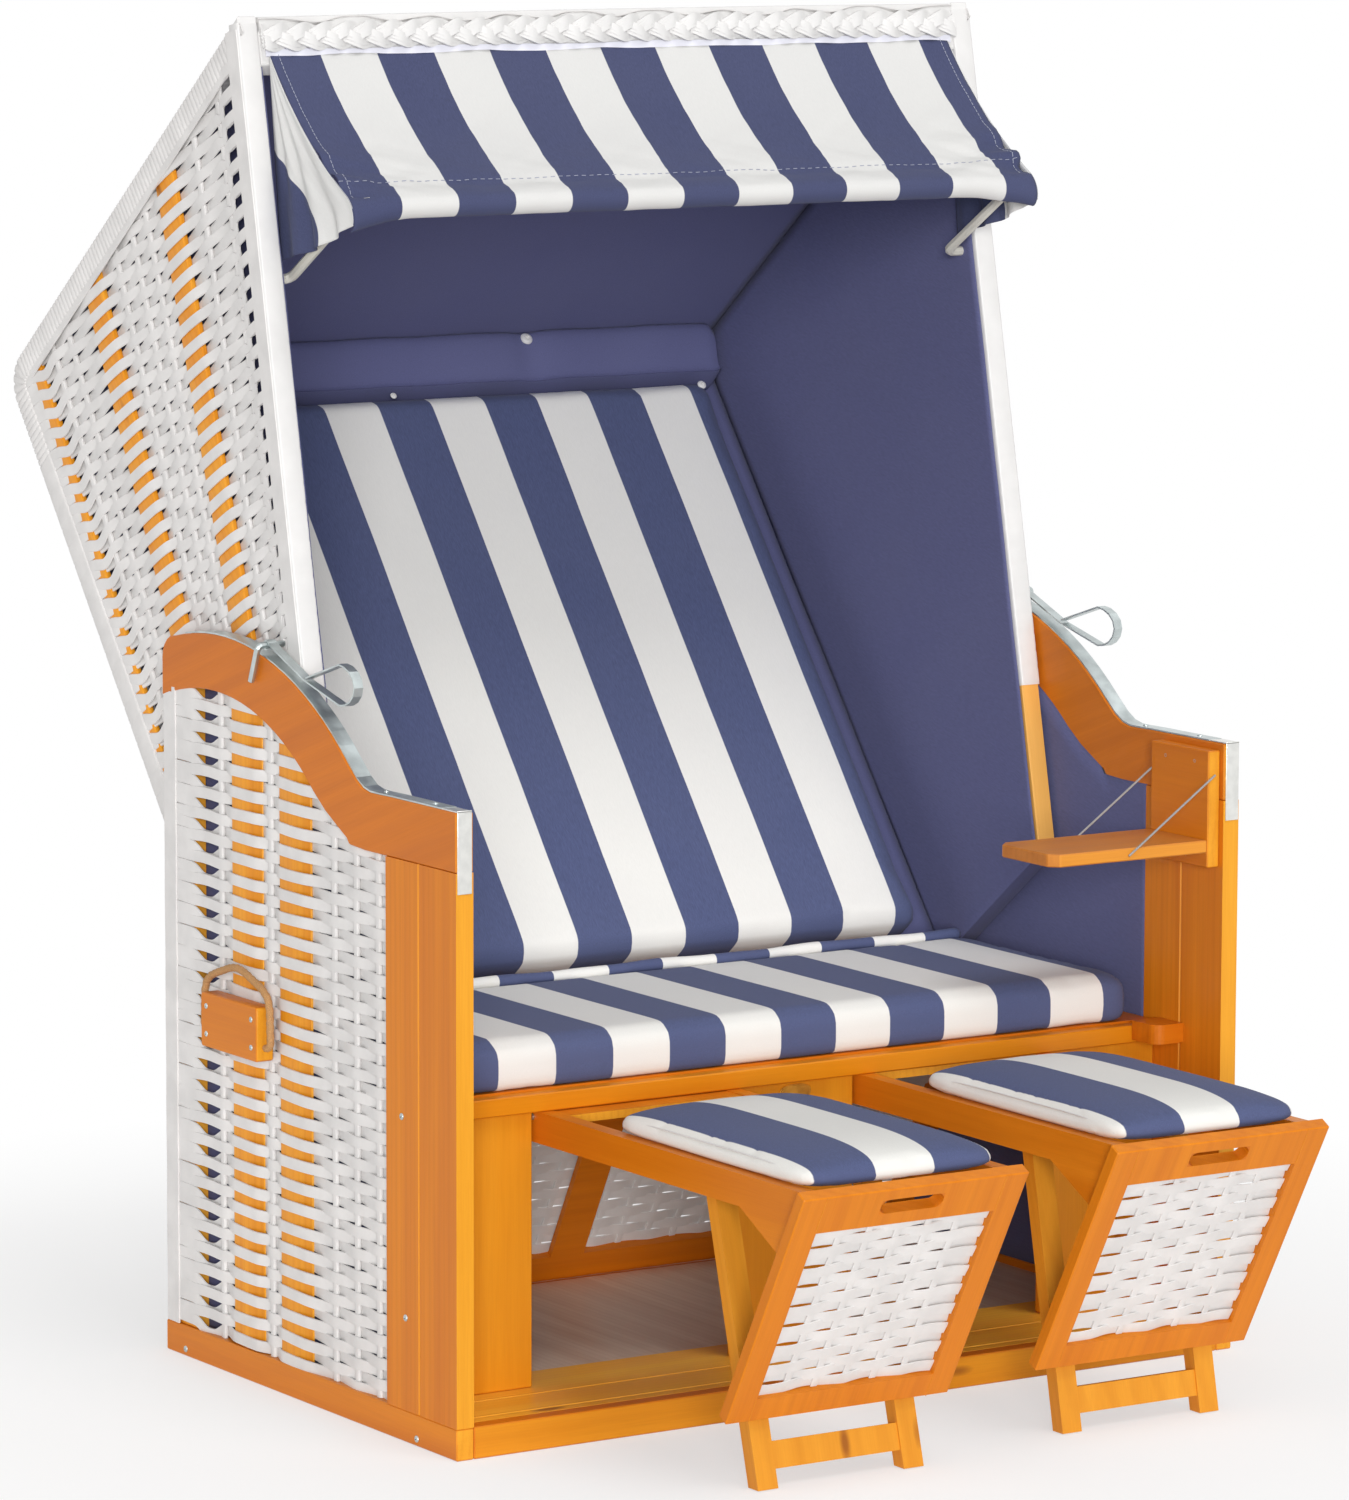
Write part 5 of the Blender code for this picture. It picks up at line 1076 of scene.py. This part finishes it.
def foot_pad(word, side):
    """Domed footrest cushion: low at its rim, its white sides turned under a seam."""
    pin_y, pin_z = PIN[word]
    floor = pin_z + 0.0080
    low, high, half = 0.1580, 0.5800, 0.1370
    mid, reach = (low + high) / 2, (high - low) / 2
    shape = Shape()
    rings, m = [], 72
    angle = np.linspace(0, 2 * math.pi, m, endpoint=False)
    cos, sin = np.cos(angle), np.sin(angle)
    square = 0.18
    ring_x = np.sign(cos) * np.abs(cos) ** square
    ring_y = np.sign(sin) * np.abs(sin) ** square
    for inset, level in ((0.006, 0.0), (0.0015, 0.003), (0.0, 0.007), (0.0015, 0.0105)):
        rings.append((ring_x * (half - inset), ring_y * (reach - inset), np.full(m, level)))
    for share in np.linspace(0.97, 0.03, 16):
        x, y = ring_x * half * share, ring_y * reach * share
        dome = ((1 - np.abs(x / half) ** 3.2) * (1 - np.abs(y / reach) ** 4.5)) ** 0.55
        rings.append((x, y, 0.0100 + 0.0245 * dome))
    points = [(side * FOOT_X + x[k], pin_y - mid - y[k], floor + z[k])
              for x, y, z in rings for k in range(m)]
    faces = [(i * m + k, i * m + (k + 1) % m, (i + 1) * m + (k + 1) % m, (i + 1) * m + k)
             for i in range(len(rings) - 1) for k in range(m)]
    faces += [tuple(range(m)), tuple(range((len(rings) - 1) * m, len(rings) * m))]
    shape.add(points, faces)
    body = "footrest_" + word
    cushion("foot_pad_" + word, FOOT_CLOTH[word], body, "footrest_cushion_" + word, shape,
            0.0050, 0.0035, (0, 0, 1), floor)
    seam = Shape()
    for edge in (-1, 1):
        run = np.linspace(low + 0.026, high - 0.022, 90)
        x = side * FOOT_X + edge * (half - 0.0085)
        rise = 0.0192 - 0.0100 * np.abs((run - mid) / (reach - 0.022)) ** 6
        path = np.stack([np.full(90, x), pin_y - run, floor + rise], 1)
        seam.sweep(path, (0, 0, 1.0), rope_section(0.0011, np.zeros(90), 2, 8))
    seam.make("foot_seam_" + word, BRAID, body, "striped_canvas", 60)


for word, side in SIDES.items():
    foot_pad(word, side)


def hem():
    """Striped roll of cloth along the foot of the back cushion."""
    x = np.linspace(-0.4930, 0.4930, 160)
    y = 0.1455 + 0.0008 * np.sin(x * 31)
    z = 0.4620 + 0.0009 * np.sin(x * 24 + 1)
    turn = np.linspace(0, 2 * math.pi, 14, endpoint=False)
    size = 0.0082 + 0.0005 * np.sin(x * 55)
    size *= np.minimum(1, (0.4945 - np.abs(x)) / 0.006) ** 0.5
    ring = np.stack([size[:, None] * 0.95 * np.cos(turn), size[:, None] * np.sin(turn)], -1)
    roll = Shape()
    roll.sweep(np.stack([x, y, z], 1), (0, -0.5, 0.86), ring)
    piece = roll.make("back_hem", HEM_CLOTH, None, None, 60)
    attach(piece, "base")
    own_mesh(piece)


hem()


def neck_roll():
    """Navy padded roll in the corner over the back cushion, buttoned in its middle."""
    rest, top = REST, 0.9271
    front = rest + 0.062
    curve = 0.020
    outline = [(rest, 0.8530)]
    outline += [(rest + curve * (1 - math.cos(a)), top - curve * (1 - math.sin(a)))
                for a in np.linspace(0, math.pi / 2, 6)]
    outline += [(front - 0.004, top - 0.0005), (front, top - 0.006)]
    outline += ease((front, top - 0.008), (front + 0.002, top - 0.030),
                    (rest + 0.054, 0.8560), (rest + 0.020, 0.8515), 12)
    outline += [(rest + 0.020, 0.8515), (rest + 0.008, 0.8515)]
    outline = np.array(outline)
    x = np.linspace(-0.4940, 0.4940, 130)
    middle = outline.mean(0)
    shape = Shape()
    sections = []
    for value in x:
        end = max(0.0, (abs(value) - 0.480) / 0.0140)
        squeeze = 1 - 0.22 * end ** 2
        pinch = 0.0045 * bell(value, 0.197, 0.020) + 0.0010 * math.sin(value * 43)
        ring = middle + (outline - middle) * squeeze
        out = np.clip((ring[:, 0] - rest) / 0.062, 0, 1)
        ring = ring - np.stack([out * pinch, np.zeros(len(ring))], 1)
        sections.append(on_hood(ring[:, 0], ring[:, 1], value))
    m = len(outline)
    faces = [(i * m + k, i * m + (k + 1) % m, (i + 1) * m + (k + 1) % m, (i + 1) * m + k)
             for i in range(len(x) - 1) for k in range(m)]
    faces += [tuple(range(m)), tuple(range((len(x) - 1) * m, len(x) * m))]
    shape.add(np.concatenate(sections), faces)
    piece = shape.make("neck_pad", NAVY_CLOTH, "hood", "navy_canvas", 60)
    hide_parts("neck_roll")


neck_roll()


# ---------------------------------------------------------------- awning
def awning_lines():
    """(forward, above) places of the sheet and of its roll, as in the part."""
    skin = 0.001
    start = np.array((post_line(-skin - 0.0003, 0.9045), 0.9045))
    bow = np.array((0.7856, 0.6573))
    slack = 0.015 - skin - 0.0062 - 0.0003
    way = (bow - start) / np.linalg.norm(bow - start)
    out = np.array((-way[1], way[0]))
    centre = bow - out * slack
    first = math.atan2(out[1], out[0])
    roll = [(centre[0] + 0.015 * math.cos(a), centre[1] + 0.015 * math.sin(a))
            for a in np.linspace(first, first - math.radians(150), 14)]
    sheet = []
    for share in np.linspace(0, 1, 40, endpoint=False):
        sag = 0.013 * 4 * share * (1 - share)
        sheet.append(tuple(start + (np.array(roll[0]) - start) * share - out * sag))
    return np.array(sheet), np.array(roll), out


def ridges(value, seed):
    """Uneven folds, the same on each run."""
    return (np.sin(value * 37 + seed) + 0.6 * np.sin(value * 83 + seed * 2.3)
            + 0.4 * np.sin(value * 141 + seed * 4.1)) / 2


def awning():
    """Striped sheet, its bar pocket and its gathered gussets."""
    sheet, roll, out = awning_lines()
    half = 0.4965
    line = np.concatenate([sheet, roll])
    x = np.linspace(-half, half, 181)
    share = np.clip(np.arange(len(line)) / len(sheet), 0, 1)[:, None]
    ends = (np.abs(x)[None, :] / half)
    near = np.clip((ends - 0.72) / 0.28, 0, 1)
    folds = ridges(x[None, :] * 0.8 + share * 0.35, 1.0)
    low = bell(share, 0.86, 0.20)
    push = 0.0012 * folds * (0.3 + share) + 0.0034 * low * ridges(
        x[None, :] * 1.5 - share * 0.9, 2.0) * (0.25 + near)
    push += 0.0062 * near * np.sin(share * 30 + ends * 14) * low
    push -= 0.0030 * bell(share, 0.90, 0.035) * (share < 1)
    push *= np.where(share >= 1, 0.45, 1.0)
    fall = out[None, None, :] * push[..., None]
    droop = 0.021 * np.clip((np.abs(x) - 0.405) / 0.0915, 0, 1) ** 1.5
    lower = np.clip((np.arange(len(line)) - len(sheet)) / (len(roll) - 1), 0, 1) ** 0.8
    fall = fall + (lower[:, None] * droop[None, :])[..., None] * np.array((0.25, -1.0))
    places = line[:, None, :] + fall
    cloth = Shape()
    cloth.grid(on_hood(places[..., 0], places[..., 1], x[None, :]))
    stripe = [np.broadcast_to(x, push.shape).ravel()]
    seam = np.concatenate([sheet, places[len(sheet):len(sheet) + 9, 0]])
    start = seam[0] - 0.012 * np.array((math.sin(math.radians(26.64)), POST_COS))
    foot_h = 0.6930
    foot = np.array((post_line(0.021, foot_h), foot_h))
    for side in SIDES.values():
        t = np.linspace(0, 1, 46)[None, :]
        s = (np.arange(len(seam)) / (len(seam) - 1))[:, None]
        edge = seam[:, None, :]
        rear = start + (foot - start) * s[..., None]
        points = edge + (rear - edge) * t[..., None]
        span = np.linalg.norm(rear - edge, axis=-1)
        gather = 0.0052 * s * np.sin(2 * math.pi * (3.3 * t + 0.25 * np.sin(s * 5)))
        gather += 0.0022 * s * ridges(t * 0.5 + s * 0.1, 3.0 + side)
        gather *= np.sin(math.pi * np.clip(t * 1.02, 0, 1)) ** 0.6
        lift = -0.006 * s ** 6 * np.sin(math.pi * t) ** 2
        points = points + lift[..., None] * np.array((0.25, 1.0))
        across = np.clip(half + gather + 0.001, 0.486, 0.5070)
        cloth.grid(on_hood(points[..., 0], points[..., 1], side * across))
        stripe.append((-0.4275 + np.minimum(0.0005 + span * t, 0.156)).ravel())
    piece = cloth.make("awning_sheet", AWNING_CLOTH, None, None, 70)
    values = np.concatenate(stripe).astype(np.float32)
    store = piece.data.attributes.new("stripe", "FLOAT", "POINT")
    store.data.foreach_set("value", values)
    skin = piece.modifiers.new("thickness", "SOLIDIFY")
    skin.thickness, skin.offset = 0.0013, 0
    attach(piece, "hood")
    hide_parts("awning_cloth")
    way = sheet[-1] - sheet[0]
    gather = dict(joint="awning_fold", axis=tuple(hood_way(*way)), keep=0.3,
                  anchor=tuple(on_hood(*sheet[0], 0.0)))
    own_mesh(piece)
    # stitched hems: pocket seam and side seams
    thread = Shape()
    dash = rope_section(0.0005, np.zeros(3), 2, 6)
    row = int(0.88 * len(sheet))
    for i in range(0, len(x) - 2, 2):
        a = on_hood(*(places[row, i] + out * 0.0012), x[i])
        b = on_hood(*(places[row, i + 1] + out * 0.0012), x[i + 1])
        thread.sweep([a, (a + b) / 2, b], hood_way(*out), dash)
    for side in SIDES.values():
        k = 2 if side < 0 else len(x) - 3
        for j in range(0, len(sheet) - 1):
            a = on_hood(*(places[j, k] + out * 0.0012), x[k])
            b = on_hood(*(places[j + 1, k] + out * 0.0012), x[k])
            thread.sweep([a, a + (b - a) * 0.35, a + (b - a) * 0.7], hood_way(*out), dash)
    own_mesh(thread.make("awning_stitches", STITCH, "hood", "striped_canvas", 60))


awning()


# ---------------------------------------------------------------- wood and metal
def post_skin():
    """Bare wood low on the post, white cover above it."""
    made = WOOD["post"].copy()
    made.name = "post_cover"
    tree = made.node_tree
    shader = [n for n in tree.nodes if n.type == "BSDF_PRINCIPLED"][0]
    bare = shader.inputs["Base Color"].links[0].from_socket
    place = add(tree, "ShaderNodeTexCoord")
    height = add(tree, "ShaderNodeVectorMath", operation="DOT_PRODUCT")
    height.inputs[1].default_value = UP_HOOD
    link(tree, place.outputs["Object"], height.inputs[0])
    start = PIVOT[0] * UP_HOOD[1] + PIVOT[1] * UP_HOOD[2] + 0.170
    white = ramp(tree, height.outputs["Value"], start, start + 0.001)
    link(tree, mix(tree, white, bare, (0.74, 0.73, 0.72)), shader.inputs["Base Color"])
    return made


POST = post_skin()


def paint(names, skin):
    """Gives nodes of the part a material."""
    for name in names:
        slots = node[name].material_slots
        for slot in slots:
            slot.material = skin


for word in SIDES:
    paint(["bottom_rail_" + word], WOOD["y"])
    paint(["side_boards_" + word], WOOD["z"])
    paint(["arm_rail_" + word], WOOD["arm"])
    paint(["hood_post_" + word], POST)
    paint(["corner_block_" + word], WOOD["x"])
    paint(["footrest_panel_" + word], WOOD["panel"])
    paint(["footrest_frame_" + word], WOOD["y"])
    paint(["footrest_legs_" + word], WOOD["legs"])
    paint(["rail_strip_" + word, "lock_hook_" + word, "lock_lever_" + word,
           "footrest_rod_" + word], STEEL)
paint(["front_panel_left", "front_panel_right", "front_panel_centre"], WOOD["pale"])
paint(["front_rail"], WOOD["red"])
paint(["deck_board"], WOOD["deck"])
paint(["rear_rail", "seat_rail"], WOOD["pale_x"])
paint(["hood_top_rail"], BRAID)
paint(["seat_board"], WOOD["x"])
paint(["floor_panel"], WOOD["ply"])
paint(["table_top"], WOOD["table"])
paint(["table_bracket"], WOOD["y"])
paint(["flap_frame"], WOOD["x"])
paint(["awning_bow"], plastic("painted_bow", (0.66, 0.64, 0.57)))


def screw(shape, place, normal, radius=0.0042):
    """A pan-head screw with a cross recess."""
    place, normal = np.array(place, float), np.array(normal, float)
    normal = normal / np.linalg.norm(normal)
    side = np.cross(normal, (0.3, 0.5, 0.81))
    side /= np.linalg.norm(side)
    other = np.cross(normal, side)
    steps, profile = 24, [(1.0, -0.1), (1.0, 0.10), (0.9, 0.26), (0.66, 0.38),
                          (0.42, 0.42)]
    points = []
    for r, up in profile:
        for k in range(steps):
            a = 2 * math.pi * k / steps
            points.append(place + radius * (r * (side * math.cos(a) + other
                                                 * math.sin(a)) + up * normal))
    for k in range(steps):  # the recess, a four-armed star
        a = 2 * math.pi * k / steps
        r = 0.40 if k % 6 in (0, 1, 5) else 0.13
        points.append(place + radius * (r * (side * math.cos(a) + other * math.sin(a))
                                        + 0.06 * normal))
    rows = len(profile) + 1
    faces = [(i * steps + k, i * steps + (k + 1) % steps, (i + 1) * steps
              + (k + 1) % steps, (i + 1) * steps + k)
             for i in range(rows - 1) for k in range(steps)]
    faces.append(tuple((rows - 1) * steps + k for k in range(steps)))
    faces.append(tuple(range(steps - 1, -1, -1)))
    shape.add(points, faces)


def fasteners():
    """Screws, corner caps, plate and small fittings."""
    heads = Shape()
    for side in SIDES.values():
        out = (side, 0, 0)
        for y, z in ((-0.228, 0.390), (0.303, 0.009), (-0.261, 0.009), (-0.236, 0.150)):
            screw(heads, (side * 0.5651, y, z), out)
        screw(heads, (side * 0.5613, 0.057, 0.374), out, 0.0034)
        for y in (0.0925, 0.2040):
            for z in (0.4245, 0.4590):
                screw(heads, (side * 0.5876, y, z), out, 0.0036)
        for y in (-0.174, -0.287):
            screw(heads, (side * 0.553, y, 0.7678), (0, 0, 1), 0.0034)
    for y, z in ((-0.316, 0.742), (-0.256, 0.742), (-0.300, 0.625)):
        # the upper two are sunk, because the table folds up against them
        screw(heads, (0.5246 if z > 0.65 else 0.5234, y, z), (-1, 0, 0), 0.0036)
    heads.make("screws_base", STEEL, "base", "zinc_steel", 35)
    for word, side in SIDES.items():
        block = Shape()
        ring = rounded_box(0.0790, 0.2175, 0.4080, 0.4750, 0.0035)
        block.prism(ring, side * 0.5641, side * 0.5878, lambda a, b, c: (c, a, b))
        piece = block.make("handle_board_" + word, WOOD["y"], "base", "honey_wood",
                           bevel=0.0018)
        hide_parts("handle_block_" + word)
    caps = Shape()
    for side in SIDES.values():
        for x0, x1, y0, y1, z0, z1 in ((0.5440, 0.5635, -0.3540, -0.3524, 0.670, 0.7680),
                                       (0.5440, 0.5635, -0.3540, -0.3180, 0.7656, 0.7672)):
            low, high = sorted((side * x0, side * x1))
            caps.prism([(low, y0), (high, y0), (high, y1), (low, y1)], z0, z1,
                       lambda a, b, c: (a, b, c))
    caps.make("corner_caps", ALU, "base", "zinc_steel", bevel=0.0005)
    plate = Shape()
    ring = [(0.0225 * math.copysign(abs(math.cos(a)) ** 0.85, math.cos(a)),
             0.0098 * math.copysign(abs(math.sin(a)) ** 0.85, math.sin(a)))
            for a in np.linspace(0, 2 * math.pi, 48, endpoint=False)]
    for scale, depth in ((1.0, -0.2152), (0.86, -0.2156)):
        plate.prism([(a * scale - 0.001, b * scale + 0.361) for a, b in ring], -0.2137,
                    depth, lambda a, b, c: (a, c, b))
    plate.make("blank_plate", BRASS, "base", "zinc_steel", bevel=0.0003)
    snaps = Shape()
    for x, h, forward, size in ((0.1975, 0.9150, REST + 0.0570, 0.0085),
                                (0.4417, 0.8290, REST + 0.0560, 0.0062),
                                (-0.4417, 0.8290, REST + 0.0560, 0.0062),
                                (-0.0322, 0.8400, REST + 0.0520, 0.0045)):
        spot = np.array((x, *upright(forward, h)))
        screw(snaps, spot, hood_way(1, 0.05), size)
    snaps.make("snaps_hood", BRAID, "hood", "zinc_steel", 35)


fasteners()


# ---------------------------------------------------------------- footrests and flap
LEAN_FOOT = math.radians(29.0)


def foot_place(word, side):
    """Places on a footrest's front panel: across, down the face, behind the face."""
    pin_y, pin_z = PIN[word]

    def place(across, down, back):
        f = 0.6016 - math.sin(LEAN_FOOT) * down - math.cos(LEAN_FOOT) * back
        u = 0.0035 - math.cos(LEAN_FOOT) * down + math.sin(LEAN_FOOT) * back
        across, f, u = np.broadcast_arrays(side * FOOT_X + across, f, u)
        return np.stack([across, pin_y - f, pin_z + u], -1)
    return place


def weave_panel(strips, stakes, place, x0, x1, b0, b1, mid, pitch, columns, out, wave):
    """A flat woven panel: strips across, stakes down, depth towards the viewer."""
    xs = np.linspace(x0, x1, columns + 2)[1:-1]
    rows = int((b1 - b0) / pitch)
    x = np.linspace(x0, x1, columns * 9 + 10)
    for row in range(rows):
        b = b0 + (row + 0.5) * (b1 - b0) / rows
        depth = strip_depth(x, [(v, 0.004, 0.0011, i % 2) for i, v in enumerate(xs)],
                            row % 2, 0.0007)
        phase = (x - x0) / (x1 - x0) * (columns + 1)
        sway = (-1) ** row * wave * np.sin(math.pi * phase) + 0.0004 * np.sin(
            x * 60 + row * 2.1)
        strips.sweep(place(x, b + sway, mid - depth), out,
                     flat_strip((b1 - b0) / rows * 1.12, 0.0011))
    for v in xs:
        b = np.linspace(b0, b1, 40)
        stakes.sweep(place(v + 0.0004 * np.sin(b * 90), b, mid), out,
                     rounded_box(-0.0045, 0.0045, -0.0011, 0.0011, 0.0009))


for word, side in SIDES.items():
    place = foot_place(word, side)
    strips, stakes = Shape(), Shape()
    out = (0, -math.cos(LEAN_FOOT), -math.sin(LEAN_FOOT))
    weave_panel(strips, stakes, place, -0.1220, 0.1220, 0.0525, 0.2965, 0.0085, 0.0143,
                5, out, 0.0017)
    body = "footrest_" + word
    piece = strips.make("foot_strips_" + word, STRIP, body, "white_wicker", 50)
    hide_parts("footrest_weave_" + word)
    stakes.make("foot_stakes_" + word, STRIP, body, "white_wicker")
    # rounded ends of the hand slot, joint lines of the frame and the gusset bolts
    ends, lines, bolts = Shape(), Shape(), Shape()
    for sx in (-1, 1):
        for sb in (-1, 1):
            corner = [(sx * 0.0431, 0.025 + sb * 0.0101)]
            corner += [(sx * (0.0331 + 0.0100 * math.sin(a)),
                        0.025 + sb * 0.0100 * math.cos(a))
                       for a in np.linspace(0, math.pi / 2, 9)]
            ends.prism(corner, 0.0002, 0.0168, lambda a, b, c: place(a, b, c))
        for b in ((0.0, 0.0515), (0.2975, 0.331)):
            run = np.linspace(b[0] + 0.0005, b[1], 6)
            lines.sweep(place(np.full(6, sx * 0.1235), run, -0.00005), out,
                        flat_strip(0.0009, 0.0003))
        pin_y, pin_z = PIN[word]
        screw(bolts, (side * FOOT_X + sx * 0.1166, pin_y - 0.5215, 0.314), (sx, 0, 0),
              0.0055)
    ends.make("slot_ends_" + word, WOOD["x"], body, "honey_wood")
    lines.make("joint_lines_" + word, WOOD["red"], body, "honey_wood")
    bolts.make("foot_bolts_" + word, STEEL, body, "zinc_steel", 35)


def flap():
    """Woven filling of the rear flap."""
    lean = math.radians(28.0)
    up = np.array((-math.sin(lean), math.cos(lean)))
    out = np.array((math.cos(lean), math.sin(lean)))

    def place(x, b, d):
        x, b, d = np.broadcast_arrays(x, b, d)
        return np.stack([x, 0.3385 + up[0] * b + out[0] * d,
                         0.0343 + up[1] * b + out[1] * d], -1)

    strips, stakes = Shape(), Shape()
    weave_panel(strips, stakes, place, -0.4995, 0.4995, 0.0365, 0.3355, 0.0040, 0.0143,
                23, (0, -out[0], -out[1]), 0.0010)
    piece = strips.make("flap_strips", STRIP, "flap", "white_wicker", 50)
    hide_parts("flap_weave")
    stakes.make("flap_stakes", STRIP, "flap", "white_wicker")


flap()


# ---------------------------------------------------------------- stage and light
def stage():
    """Pale floor, white surroundings and level light."""
    bpy.ops.mesh.primitive_plane_add(size=40, location=(0, 0, -0.0004))
    floor = bpy.context.object
    floor.name = "floor"
    made, tree, shader = material("floor_paint")
    shader.inputs["Base Color"].default_value = (0.93, 0.93, 0.93, 1)
    shader.inputs["Roughness"].default_value = 0.9
    shader.inputs["Specular IOR Level"].default_value = 0.1
    glow = add(tree, "ShaderNodeEmission")
    glow.inputs[1].default_value = 1.0
    rays = add(tree, "ShaderNodeLightPath")
    seen = math_node(tree, "MAXIMUM", rays.outputs["Is Camera Ray"],
                     math_node(tree, "MAXIMUM", rays.outputs["Is Glossy Ray"],
                               rays.outputs["Is Transmission Ray"]))
    where = add(tree, "ShaderNodeTexCoord")
    size = add(tree, "ShaderNodeVectorMath", operation="LENGTH")
    link(tree, where.outputs["Object"], size.inputs[0])
    far = ramp(tree, size.outputs["Value"], 0.6, 1.7, 0.55, 1.0)
    blend = add(tree, "ShaderNodeMixShader")
    link(tree, math_node(tree, "MULTIPLY", seen, far), blend.inputs[0])
    link(tree, shader.outputs[0], blend.inputs[1])
    link(tree, glow.outputs[0], blend.inputs[2])
    out = [n for n in tree.nodes if n.type == "OUTPUT_MATERIAL"][0]
    link(tree, blend.outputs[0], out.inputs[0])
    floor.data.materials.append(made)

    world = bpy.data.worlds.new("world")
    bpy.context.scene.world = world
    world.use_nodes = True
    tree = world.node_tree
    tree.nodes.clear()
    out = tree.nodes.new("ShaderNodeOutputWorld")
    soft, white = (tree.nodes.new("ShaderNodeBackground") for _ in range(2))
    soft.inputs[0].default_value = (1, 1, 1, 1)
    soft.inputs[1].default_value = 0.45
    white.inputs[0].default_value = (1, 1, 1, 1)
    white.inputs[1].default_value = 1.0
    rays = tree.nodes.new("ShaderNodeLightPath")
    seen = math_node(tree, "MAXIMUM", rays.outputs["Is Camera Ray"],
                     math_node(tree, "MAXIMUM", rays.outputs["Is Glossy Ray"],
                               rays.outputs["Is Transmission Ray"]))
    both = tree.nodes.new("ShaderNodeMixShader")
    tree.links.new(seen, both.inputs[0])
    tree.links.new(soft.outputs[0], both.inputs[1])
    tree.links.new(white.outputs[0], both.inputs[2])
    tree.links.new(both.outputs[0], out.inputs[0])
    for name, direction, strength, angle in (("key", (-0.10, 0.45, -0.89), 0.95, 28),
                                             ("front", (0.50, 0.85, -0.16), 2.05, 20)):
        lamp = bpy.data.lights.new(name, "SUN")
        lamp.energy, lamp.angle = strength, math.radians(angle)
        thing = bpy.data.objects.new(name, lamp)
        thing.rotation_mode = "QUATERNION"
        thing.rotation_quaternion = Vector(direction).to_track_quat("-Z", "Y")
        bpy.context.scene.collection.objects.link(thing)


stage()
bpy.context.scene.view_settings.view_transform = "Standard"
